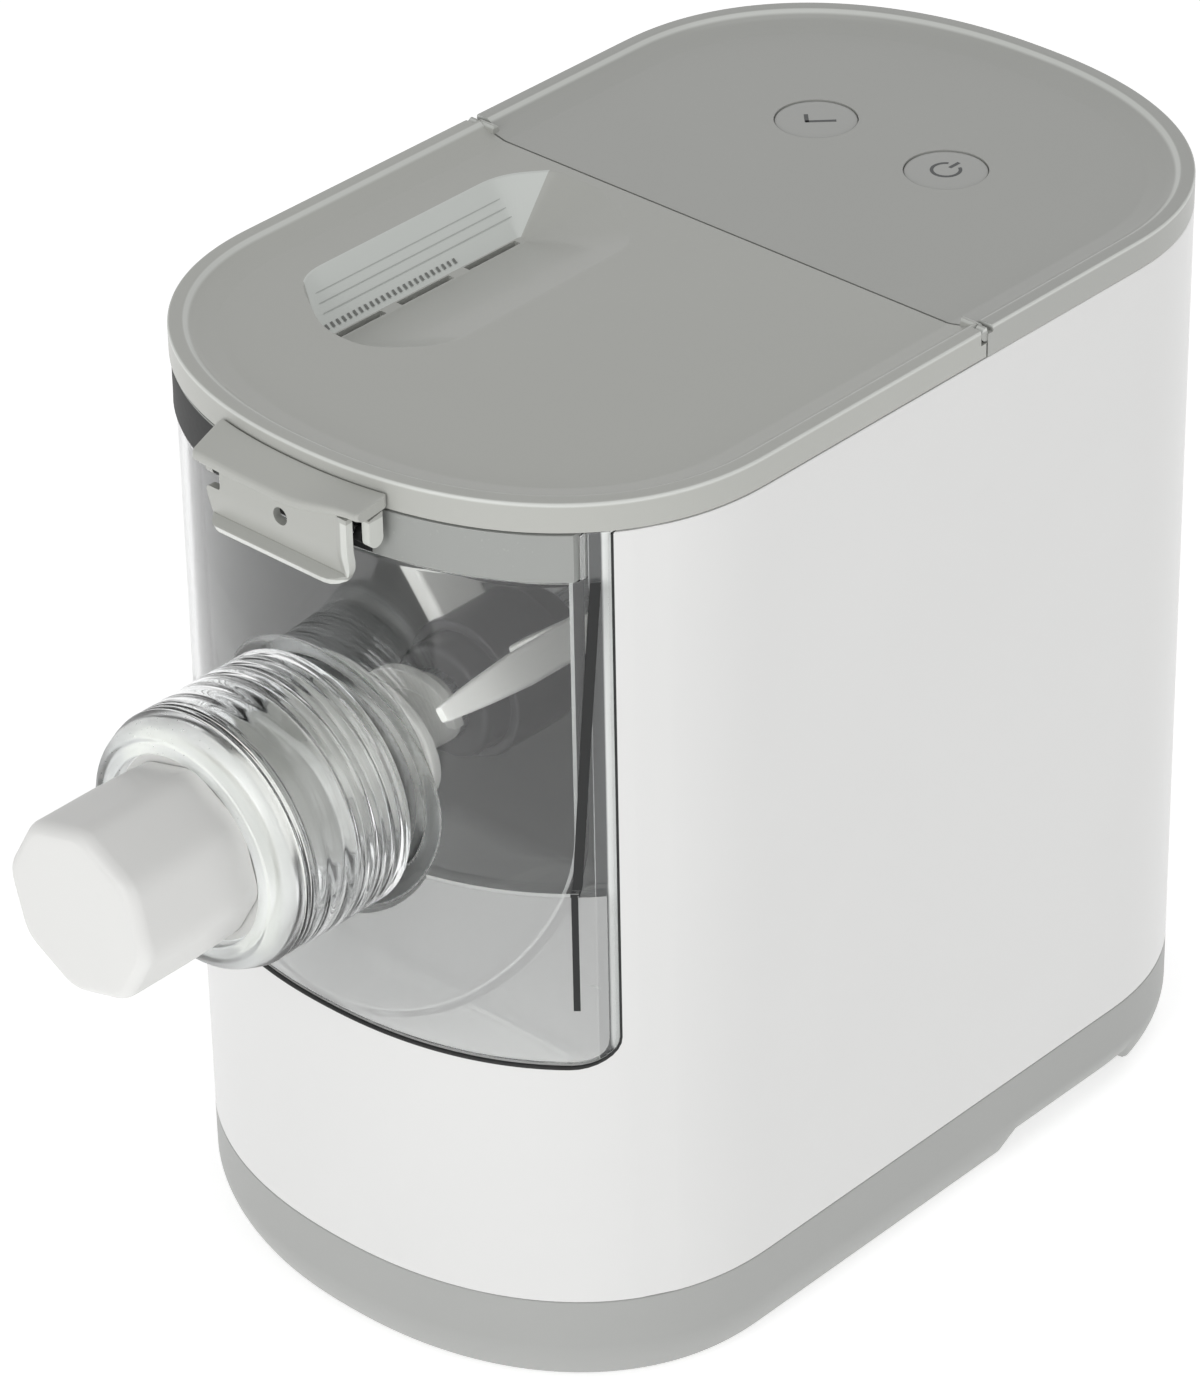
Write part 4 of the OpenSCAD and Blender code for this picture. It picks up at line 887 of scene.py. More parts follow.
        # The quarter round of the window's edge takes the dark finish: painted shade along the
        # edge.
        piece.grid(np.stack(strip[:-1]), slot=2)
        piece.grid(np.stack(strip[-2:]))
        for z_out, z_in, closed in ((self.low + self.foot_step, self.low, True),
                                    (self.high - self.top_step, self.high, False)):
            paths = []
            for inset, z in ((0.0, z_out), (0.12, z_out * 0.3 + z_in * 0.7), (0.5, z_in),
                             (self.wall, z_in)):
                top_x = edge_x[-1] if inset < self.wall else self.window_half
                paths.append(flat(z)(self.low_path(inset, edge_x[0]) if closed
                                     else self.side_path(inset, top_x)))
            piece.grid(np.stack(paths), wrap_v=closed)


# ------------------------------------------------------------------ lid and rear panel


@dataclass
class TopSlab:
    """What lid and rear panel share: a rim with rounded edges round a dished top.

    A slab is a section swept round its part of the outline. Rows between notch_low and the
    inset notch_in end at notch_cut instead of cut, which leaves room for the hinge.
    """

    name: str
    node: str
    side: int
    low: float
    cut: float
    notch_cut: float
    notch_low: float
    notch_in: float
    recess_in: float
    recess_cut: float
    high: float = 250.0
    dish: float = DISH
    rim: float = 3.6
    foot: float = 12.0
    skin: float = 2.4

    def part(self, inset: float, cut: float) -> Array:
        """This slab's part of the outline; closed, it has a straight edge at the cut."""
        return PLAN.half_path(inset, cut, 0.0 if self.side < 0 else 22.0, self.side)

    def outer_profile(self) -> tuple[Array, Array]:
        """The section as (inset, z) and each row's cut."""
        below = rounded([[0.5, self.low], [0, self.low], [0, self.notch_low]],
                        [0, 0.4, 0], False, 3)
        above = rounded([[0, self.notch_low], [0, self.high], [self.rim, self.high],
                         [5.8, 248.3], [self.foot - 0.8, self.dish + 0.1],
                         [self.foot, self.dish]],
                        [0, 0.8, 0.7, 1.6, 0.6, 0], False, 5)
        inside_notch = above[:, 0] <= self.notch_in
        step = np.array([[self.notch_in, np.interp(self.notch_in, above[:, 0], above[:, 1])]])
        first, second = above[inside_notch], above[~inside_notch]
        profile = np.vstack([below, first, step, step, second])
        cuts = np.full(len(profile), self.cut)
        cuts[len(below):len(below) + len(first) + 1] = self.notch_cut
        return profile, cuts

    def shell(self, piece: Piece, holes: Sequence[Array], under: Sequence[Array]) -> None:
        """Adds rim, dish, underside and end faces.

        Args:
            piece: the piece being built.
            holes: holes in the dish.
            under: holes in the pocket's ceiling.
        """
        profile, cuts = self.outer_profile()
        piece.grid(plan_sweep(profile, lambda inset, i: self.part(inset, cuts[i])))
        piece.sheet(self.part(self.foot, self.cut), holes, flat(self.dish))
        pocket = self.part(self.recess_in, self.recess_cut)
        ceiling = self.dish - self.skin
        piece.sheet(self.part(0.5, self.cut), [pocket], flat(self.low))
        piece.sheet(pocket, under, flat(ceiling))
        piece.rims(pocket, flat(self.low), flat(ceiling))
        self.ends(piece, profile, cuts)

    def ends(self, piece: Piece, profile: Array, cuts: Array) -> None:
        """Adds the faces at the seam, with the step round the hinge on both sides."""
        section = np.column_stack([PLAN.half_w - profile[:, 0], profile[:, 1]])
        far = cuts == self.notch_cut
        near, top = section[~far], section[far]
        inner = PLAN.half_w - self.notch_in
        at = int(np.sum(~far & (np.arange(len(cuts)) < np.argmax(far))))
        right = np.vstack([near[:at], [[inner, self.notch_low]], near[at:]])
        piece.sheet(mirrored(right), [], flat(self.cut, 1))
        corner = np.vstack([top, [[inner, self.notch_low]]])
        for mirror in (1.0, -1.0):
            piece.sheet(corner * [mirror, 1.0], [], flat(self.notch_cut, 1))
            for (u0, u1), (v0, v1), size, surface in (
                    ((PLAN.half_w, inner), (self.cut, self.notch_cut), mirror,
                     flat(self.notch_low)),
                    ((self.cut, self.notch_cut), (self.notch_low, top[-1, 1]), 1.0,
                     flat(inner * mirror, 0))):
                loop = np.array([[u0, v0], [u1, v0], [u1, v1], [u0, v1]])
                piece.sheet(loop * [size, 1.0], [], surface)


@dataclass
class Scoop:
    """The lid's hollow: a soft mouth, a steep left wall, a gentle right one and a trough."""

    mouth: tuple[tuple[float, float], ...] = (
        (-60.5, -73.0), (-38.0, -87.5), (-22.0, -87.5), (-8.0, -73.0), (-9.5, -6.5),
        (-34.0, 8.3), (-51.0, 8.3), (-60.5, -3.0))
    trough: tuple[tuple[float, float], ...] = (
        (-46.5, -79.5), (-45.9, -80.5), (-44.1, -80.5), (-43.5, -79.5), (-43.5, -11.5),
        (-44.1, -10.5), (-45.9, -10.5), (-46.5, -11.5))
    mouth_r: tuple[float, ...] = (8.0, 8.0, 8.0, 8.0, 8.0, 8.0, 2.2, 8.0)
    top: float = DISH
    depth: float = 9.4
    wall: float = 2.0
    steep: tuple[int, int] = (104, 5)
    slot_x: float = -45.0
    slot_y: tuple[float, ...] = (-68.8, -45.5, -22.2)
    slot_l: float = 18.0
    slot_w: float = 2.0
    wall_x: float = -60.5
    wall_run: float = 14.0
    lift: float = 0.05
    lines: tuple[float, ...] = (0.36, 0.52, 0.68)
    ticks: tuple[float, float, float] = (-78.0, -32.0, 1.9)

    def matched(self, corners: Sequence[Sequence[float]],
                radius: float | Sequence[float]) -> Array:
        """A rounded loop with the same number of points on each side, whatever its size."""
        loop = rounded(corners, radius, steps=8)
        return cut_up(loop, np.arange(len(loop)) % 9 == 8, 8)

    def build(self, piece: Piece, ceiling: float) -> tuple[Array, Array]:
        """Adds the hollow and the pan below it.

        A point of the wall is mouth + (trough - mouth) g at depth d h, where the curve
        (g, h) leaves the mouth level and ends steep.

        Args:
            piece: the lid.
            ceiling: height of the lid's inner ceiling.

        Returns:
            The hole in the dish and the hole in the ceiling.
        """
        mouth = self.matched(self.mouth, self.mouth_r)
        trough = self.matched(self.trough, 0.4)
        curve = rounded([[0, 0], [0.05, 0.0], [0.985, 0.985], [1, 1]], [0, 0.045, 0.01, 0],
                        False, 5)
        curve = np.vstack([curve[:-8], np.linspace(curve[-9], curve[-8], 12)[1:-1],
                           curve[-8:]])
        plan = mouth + (trough - mouth) * curve[:, :1, None]
        wall = raised(plan, self.top - self.depth * curve[:, 1])
        steep = np.zeros((len(wall) - 1, wall.shape[1]), bool)
        steep[:, self.steep[0]:] = True
        steep[:, :self.steep[1]] = True
        piece.grid(wall, wrap_v=True, skip=steep)
        piece.grid(wall, wrap_v=True, skip=~steep, slot=1)
        slots = [box_loop(self.slot_x - self.slot_w / 2, self.slot_x + self.slot_w / 2,
                          y - self.slot_l / 2, y + self.slot_l / 2) for y in self.slot_y]
        low, deep = self.top - self.depth, self.top - self.depth - self.wall
        piece.sheet(trough, slots, flat(low))
        for loop in slots:
            piece.rims(loop, flat(low), flat(deep))
        middle = trough.mean(0)
        hull = middle + (mouth - middle) * [1.02, 1.0]
        pan_low = middle + (trough - middle) * [2.2, 1.05]
        plan = hull + (pan_low - hull) * np.linspace(0.12, 1.0, 6)[:, None, None]
        piece.grid(raised(plan, ceiling + (deep - ceiling) * np.linspace(0, 1, 6)), wrap_v=True)
        piece.sheet(pan_low, slots, flat(deep))
        return mouth, plan[0]

    def marks(self, piece: Piece, line: int, tick: int) -> None:
        """Printed scale on the steep wall: long faint lines and a row of short dark ticks."""
        def on_wall(uv: Array) -> Array:
            """A point of the steep wall; u is the share of the way down, v is y."""
            x = self.wall_x + self.wall_run * uv[:, 0] + self.lift
            z = self.top - self.depth * uv[:, 0] * 1.02 + 0.45 + self.lift
            return np.column_stack([x, uv[:, 1], z])
        for share in self.lines:
            piece.sheet(box_loop(share, share + 0.012, -70.0 - 6 * share, -8.0, 0, 8.0), [],
                        on_wall, slot=line)
        for y in np.arange(*self.ticks):
            piece.sheet(box_loop(0.84, 0.93, y, y + 0.7), [], on_wall, slot=tick)


@dataclass
class Hinge:
    """Both knuckles of the lid and both ears of the rear panel, round one axis."""

    y: float = 10.7
    z: float = 248.2
    radius: float = 1.8
    knuckle: tuple[float, float] = (75.1, 80.1)
    ear: tuple[float, float] = (80.4, 82.7)

    def barrel(self, piece: Piece, span: tuple[float, float], back: float) -> None:
        """A drop-shaped bar round the axis on both sides, joined to the slab behind it.

        Args:
            piece: the slab.
            span: x of the bar's ends on the right.
            back: y of the slab's face that it joins.
        """
        turn = np.linspace(-math.pi / 2, math.pi / 2, 13) + (0.0 if back < self.y else math.pi)
        corners = [[back, self.z], [back, self.z - self.radius]]
        if back > self.y:
            corners.reverse()
        piece.pair(np.vstack([arc(self.y, self.z, self.radius, turn), corners]), span)


@dataclass
class FrontLid(TopSlab):
    """The hinged front lid with its scoop."""

    name: str = "front_lid"
    node: str = "lid"
    side: int = -1
    low: float = 242.3
    cut: float = 10.4
    notch_cut: float = 8.5
    notch_low: float = 246.0
    notch_in: float = 2.9
    recess_in: float = 4.4
    recess_cut: float = 7.7

    def build(self) -> None:
        """Builds the lid."""
        piece = Piece(self.name)
        scoop = Scoop()
        hole, under = scoop.build(piece, self.dish - self.skin)
        self.shell(piece, [hole], [under])
        hinge = Hinge()
        hinge.barrel(piece, hinge.knuckle, self.cut - 0.2)
        scoop.marks(piece, 2, 3)
        piece.build([TOP_GREY, SCOOP_LIGHT, SCALE_LINE, SCALE_TICK], "lid", self.node,
                    slot="top_grey")


@dataclass
class RearPanel(TopSlab):
    """The fixed rear panel with two round holes for the buttons."""

    name: str = "rear_control_panel"
    node: str = "rear_panel"
    side: int = 1
    low: float = 242.0
    cut: float = 11.0
    notch_cut: float = 12.8
    notch_low: float = 248.2
    notch_in: float = 5.9
    recess_in: float = 4.5
    recess_cut: float = 18.7
    hole_r: float = 10.6
    hole_x: float = 21.0
    hole_y: float = 70.0

    def build(self) -> None:
        """Builds the panel."""
        piece = Piece(self.name)
        holes = [circle_loop(x, self.hole_y, self.hole_r, 72)
                 for x in (-self.hole_x, self.hole_x)]
        self.shell(piece, holes, holes)
        for loop in holes:
            piece.rims(loop, flat(self.dish), flat(self.dish - self.skin))
        hinge = Hinge()
        hinge.barrel(piece, hinge.ear, self.cut + 0.2)
        piece.build([PANEL_GREY], "base", self.node, slot="top_grey")


@dataclass
class Button:
    """A round button: a softly domed cap in its hole, a flange below, a stem and an icon."""

    name: str
    node: str
    x: float
    y: float = 70.0
    top: float = DISH
    radius: float = 10.5
    stem_r: float = 3.0
    flange: float = 1.2
    flange_z: tuple[float, float] = (2.7, 4.1)
    stem_l: float = 7.6
    power: bool = False

    def print_on(self, piece: Piece, loop: Array) -> None:
        """A printed shape of the icon, given about the button's middle."""
        piece.prism(loop + [self.x, self.y], (self.top - 0.25, self.top - 0.01), 2, slot=1)

    def bar(self, piece: Piece, ax: float, ay: float, bx: float, by: float,
            width: float) -> None:
        """A printed bar of the icon between two points."""
        a, b = np.array([ax, ay]), np.array([bx, by])
        way = (b - a) / np.linalg.norm(b - a)
        across = np.array([-way[1], way[0]]) * width / 2
        self.print_on(piece, np.array([a - across, b - across, b + across, a + across]))

    def build(self) -> None:
        """Builds the cap, the stem and the icon."""
        piece = Piece(self.name)
        r = self.radius
        dome = np.linspace(0.0, 1.0, 7)[1:]
        head = np.column_stack([r * 0.86 * dome, self.top - 0.02 - 0.1 * dome**2])
        flange, foot = self.top - np.array(self.flange_z), self.top - self.stem_l
        edge = rounded([[r * 0.86, self.top - 0.12], [r, self.top - 0.35], [r, flange[0]]],
                       [0, 0.5, 0], False, 4)[1:]
        low = np.array([[r + self.flange, flange[0]], [r + self.flange, flange[1]],
                        [self.stem_r, flange[1]], [self.stem_r, foot], [0.4, foot]])
        profile = np.vstack([[[0.4, self.top - 0.02]], head, edge, low])
        piece.turned(profile, (self.x, self.y), 2, 72, closed=False)
        for z in (self.top - 0.02, foot):
            piece.sheet(circle_loop(self.x, self.y, 0.4, 72), [], flat(z))
        if self.power:
            turn = np.radians(np.linspace(120, 420, 25))
            self.print_on(piece, np.vstack([arc(0.0, 0.0, 4.0, turn),
                                            arc(0.0, 0.0, 3.1, turn)[::-1]]))
            self.bar(piece, 0.0, 1.4, 0.0, 5.0, 1.0)
        else:
            self.bar(piece, -3.6, 0.2, -0.6, -2.8, 1.1)
            self.bar(piece, -1.1, -2.9, 4.4, 2.6, 1.1)
        piece.build([BUTTON_GREY, MARK_DARK], self.node, self.node, slot="button_grey")


# ------------------------------------------------------------------ cup, collar and latch


@dataclass
class MixingCup:
    """The clear cup: a curved front plate with side flanges, a boss, and a U-shaped shell."""

    inset: float = CUP_INSET
    plate: float = 2.1
    wall: float = CUP_WALL
    half: float = CUP_HALF
    flange: float = 69.5
    low: float = 96.5
    top: float = 229.0
    flange_top: float = 241.6
    corner: float = 7.5
    axis_z: float = AXIS_Z
    back: float = CUP_BACK
    back_wall: float = 3.0
    boss_r: float = 35.0
    boss_back: float = -125.0
    barrel_r: float = 27.05
    boss_end_r: float = 29.4
    edge: float = 0.6
    # Share of the front rim's width, and lowest height, of the painted shade along its outer
    # part.
    shade_share: float = 0.74
    shade_low: float = 136.0
    ledge_z: tuple[float, float] = (145.0, 146.6)
    ledge: float = 0.5
    # Half width and heights of the painted shade lines near the plate's flanges.
    shade_line_half: float = 0.85
    shade_line_z: tuple[float, float] = (139.0, 228.6)
    # x span and z span of painted shade streaks below those lines.
    shade_streak: tuple[float, float, float, float] = (62.8, 64.0, 112.0, 144.3)
    # Depth of a strip of painted shade inside the shell's left wall, from its front edge.
    strip: float = 4.4
    rib: tuple[float, float, float, float] = (-112.0, -109.0, 96.9, 98.3)
    # Middle and lean of the painted shade lines near the flanges.
    shade_line_x: float = 66.1
    shade_line_lean: float = 0.047

    def plate_loop(self, shrink: float) -> Array:
        """The front plate's outline in X and Z: low between the flanges, round below."""
        w, t = self.flange - shrink, self.flange_top - shrink
        inner, top = self.half + 0.3 + shrink, self.top - shrink
        corners = [[-w, self.low + shrink], [w, self.low + shrink], [w, t], [inner, t],
                   [inner, top], [-inner, top], [-inner, t], [-w, t]]
        radii = [self.corner - shrink, self.corner - shrink, 1.0, 1.0, 0.4, 0.4, 1.0, 1.0]
        return self.divided(rounded(corners, radii, steps=6), 72)

    def divided(self, loop: Array, cuts: int) -> Array:
        """The loop with its long edges cut into equal parts, the same number at any size."""
        after = np.roll(loop, -1, axis=0)
        return cut_up(loop, np.linalg.norm(after - loop, axis=1) > 8.0, cuts)

    def on_face(self, inset: float) -> Surface:
        """The plate's outer face: above its ledge it lies deeper by a smooth step."""
        low, high = self.ledge_z

        def lift(uv: Array) -> Array:
            """Outline at an inset that grows from the ledge's foot to its top."""
            deep = inset + self.ledge * smooth((uv[:, 1] - low) / (high - low))
            return PLAN.onto(deep)(uv)
        return lift

    def on_shade_line(self, mirror: float) -> Surface:
        """Lifts a painted shade line to the plate's face: it leans to the middle as it falls."""
        face = self.on_face(self.inset - 0.02)

        def lift(uv: Array) -> Array:
            """A point of the painted shade line; u is counted from its middle line, v is the
            height.
            """
            x = self.shade_line_x + (uv[:, 1] - 200.0) * self.shade_line_lean + uv[:, 0]
            return face(np.column_stack([x * mirror, uv[:, 1]]))
        return lift

    def milky(self, piece: Piece) -> None:
        """Adds the frosted band below the ledge, cut out round the boss."""
        radius, top = self.boss_r + 1.0, self.ledge_z[0] - 0.9
        drop = math.asin((self.axis_z - top) / radius)
        turn = np.linspace(-drop, drop - math.pi, 33)
        w, low = self.flange - 0.9, self.low + 0.9
        corners = rounded([[-w, top], [-w, low], [w, low], [w, top]], [0, 6.6, 6.6, 0], False, 6)
        loop = np.vstack([corners, arc(0.0, self.axis_z, radius, turn)])
        piece.sheet(resampled(loop, 2.0), [], self.on_face(self.inset - 0.03), (2.0, 9.0),
                    slot=3)

    def front(self, piece: Piece) -> None:
        """Adds the plate with rounded edges and the boss that narrows behind it.

        The boss's radius falls from its foot to its end along half a cosine wave.
        """
        turn = np.linspace(0.0, math.pi / 2, 4)
        e = self.edge
        steps = [(e * (1 - math.sin(t)), e * (1 - math.cos(t))) for t in turn]
        rows = [self.on_face(self.inset + deep)(self.plate_loop(shrink))
                for shrink, deep in steps]
        back = PLAN.onto(self.inset + self.plate)
        rows.append(back(self.plate_loop(0.0)))
        piece.grid(np.stack(rows), wrap_v=True)
        bore = circle_loop(*NOZZLE_AXIS, self.barrel_r, 96)
        foot = circle_loop(*NOZZLE_AXIS, self.boss_r, 96)
        creases = []
        for z in (*self.ledge_z, sum(self.ledge_z) / 2):
            near = math.sqrt(self.barrel_r**2 - (self.axis_z - z)**2) + 0.8
            xs = np.linspace(near, self.flange - e - 0.8, 33)
            creases += [np.column_stack([xs * m, np.full(33, z)]) for m in (1.0, -1.0)]
        piece.sheet(self.plate_loop(e), [bore], self.on_face(self.inset), (1.4, 9.0),
                    creases=creases)
        piece.sheet(self.plate_loop(0.0), [foot], back, (1.4, 9.0))
        z = self.ledge_z[0] - 0.35
        near = math.sqrt(self.boss_r**2 - (self.axis_z - z)**2) + 1.0
        for mirror in (1.0, -1.0):
            ends = sorted((near * mirror, (self.half - 0.4) * mirror))
            piece.sheet(box_loop(*ends, z - 0.5, z + 0.5, 0.0, 2.0), [],
                        self.on_face(self.inset - 0.02), slot=1)
            # Painted shade: a dark line near each flange and a dark streak below it.
            piece.sheet(box_loop(-self.shade_line_half, self.shade_line_half, *self.shade_line_z, 0.0, 1.0), [],
                        self.on_shade_line(mirror), slot=2)
            x0, x1 = sorted((self.shade_streak[0] * mirror, self.shade_streak[1] * mirror))
            piece.sheet(box_loop(x0, x1, *self.shade_streak[2:], 0.0, 1.0), [],
                        self.on_face(self.inset - 0.04), slot=2)
        self.milky(piece)
        share = np.linspace(0.0, 1.0, 9)[:, None, None]
        size = (self.boss_end_r + (self.boss_r - self.boss_end_r)
                * (1 + np.cos(math.pi * share)) / 2) / self.boss_r
        start = back(foot)
        middle = np.array([0.0, 0.0, self.axis_z])
        wall = middle + (start - middle) * np.concatenate(
            [size, np.ones_like(size), size], axis=2)
        wall[..., 1] = start[:, 1] + (self.boss_back - start[:, 1]) * share[..., 0]
        piece.grid(wall, wrap_v=True, slot=4)
        end = circle_loop(*NOZZLE_AXIS, self.boss_end_r, 96)
        piece.sheet(end, [bore], flat(self.boss_back, 1), slot=4)
        piece.rims(bore, self.on_face(self.inset), flat(self.boss_back, 1), slot=4)

    def u_path(self, half: float) -> Array:
        """The shell's section: down the right side, round below the axis, up the left."""
        turn = np.linspace(0.0, -math.pi, 65)
        zs = np.linspace(self.top, self.axis_z, 13)[:-1]
        right = np.column_stack([np.full(12, half), zs])
        return np.vstack([right, arc(0.0, self.axis_z, half, turn),
                          right[::-1] * [-1.0, 1.0]])

    def shell(self, piece: Piece) -> None:
        """Adds the U-shaped shell with its back wall."""
        start = self.inset + self.plate + 0.05
        fronts = []
        for half, back in ((self.half, self.back),
                           (self.half - self.wall, self.back - self.back_wall)):
            path = self.u_path(half)
            front = PLAN.front_y(path[:, 0], start)
            share = np.linspace(0.0, 1.0, 15)[:, None]
            y = front + (back - front) * share
            grid = np.stack([np.broadcast_to(path[:, 0], y.shape), y,
                             np.broadcast_to(path[:, 1], y.shape)], axis=-1)
            piece.grid(grid)
            piece.sheet(path, [], flat(back, 1))
            fronts.append(grid[0])
        outer, inner = fronts
        # Front rim: the outer strip is painted shade above a height and clear below it; the
        # inner strip is frosted.
        split = outer + (inner - outer) * self.shade_share
        piece.grid(np.stack([split, inner]), slot=1)
        upper = (inner[:-1, 2] + inner[1:, 2]) / 2 > self.shade_low
        for dark in (True, False):
            piece.grid(np.stack([outer, split]), slot=2 * int(dark),
                       skip=(upper != dark)[None])
        o, i = self.half, self.half - self.wall
        fo, fi = outer[0, 1], inner[0, 1]
        b, c = self.back, self.back - self.back_wall
        piece.sheet(np.array([[o, fo], [o, b], [-o, b], [-o, fo], [-i, fi], [-i, c], [i, c],
                              [i, fi]]), [], flat(self.top))
        # Painted shade: a dark strip inside the left wall, just behind its front edge.
        ys = flat(0.1 - i, 0)(fi + np.linspace(0.2, self.strip, 5)[:, None])
        piece.grid(np.stack([flat(z)(ys) for z in np.linspace(*self.shade_line_z, 31)]), slot=2)
        piece.prism(box_loop(*self.rib, 0.4, 30.0), (-60.0, 60.0), slot=1)

    def build(self) -> None:
        """Builds the front and the shell behind it."""
        front = Piece("clear_cup_front")
        self.front(front)
        front.build([CLEAR, FROST, PAINTED_SHADE, MILKY, SATIN], "cup", "cup_front",
                    slot="clear_plastic", weighted=False)
        shell = Piece("clear_cup_shell")
        self.shell(shell)
        shell.build([CLEAR, FROST, PAINTED_SHADE], "cup", "mixing_cup", slot="clear_plastic",
                    weighted=False)


@dataclass
class Collar:
    """The frosted grey collar on the cup's top edge, low at the back, with two pin lugs."""

    low: float = 229.1
    high: float = 241.6
    half: float = CUP_HALF
    wall: float = CUP_WALL
    inset: float = CUP_INSET
    back: float = CUP_BACK
    back_high: float = 233.6
    lug_x: tuple[float, float] = (21.3, 23.5)
    lug_r: float = 2.2
    lug_back: float = -132.3
    # Span in x of a dark sheet of painted shade on the collar's front.
    shade_patch: tuple[float, float] = (-66.6, 21.2)

    def path(self, inset: float, half: float, back: float) -> Array:
        """Plan points from the right back corner by the front to the left back corner."""
        xs = np.linspace(half, -half, 81)
        front = np.column_stack([xs, PLAN.front_y(xs, inset)])
        ys = np.linspace(back, front[0, 1], 12)[:-1]
        right = np.column_stack([np.full(11, half), ys])
        return np.vstack([right, front, right[::-1] * [-1.0, 1.0]])

    def build(self) -> None:
        """Builds the band, the low back bar and the lugs."""
        piece = Piece("cup_collar_band")
        outer = self.path(self.inset, self.half, self.back)
        inner = self.path(self.inset + self.wall, self.half - self.wall, self.back)
        section = rounded([[0, self.low], [1, self.low], [1, self.high], [0, self.high]],
                          [0.2, 0.2, 0.3, 0.5], True, 3)
        grid = raised(outer + (inner - outer) * section[:, :1, None], section[:, 1])
        piece.grid(grid, wrap_u=True)
        for end in (0, -1):
            ring = grid[:, end]
            piece.sheet(ring[:, [0, 2]], [], flat(ring[0, 1], 1))
        x, y = self.half - self.wall - 0.02, self.back
        piece.prism(box_loop(-x, x, y - 3.0, y, 0.0, 30.0), (self.low, self.back_high), 2)
        turn = np.linspace(math.pi / 2, 3 * math.pi / 2, 17)
        z = LATCH_PIN[1]
        # The lugs take the dark finish: painted shade in the gap beside the latch's tab.
        piece.pair(np.vstack([arc(*LATCH_PIN, self.lug_r, turn), [
            [self.lug_back, z - self.lug_r], [self.lug_back, z + self.lug_r]]]), self.lug_x,
            slot=1)
        # A dark sheet on the collar's front, mostly on the left: painted shade.
        piece.sheet(box_loop(*self.shade_patch, self.low + 0.3, self.high - 0.5, 0.0, 2.0), [],
                    PLAN.onto(self.inset - 0.06), slot=1)
        piece.build([COLLAR, PAINTED_SHADE], "cup", "cup_collar", slot="collar_grey")


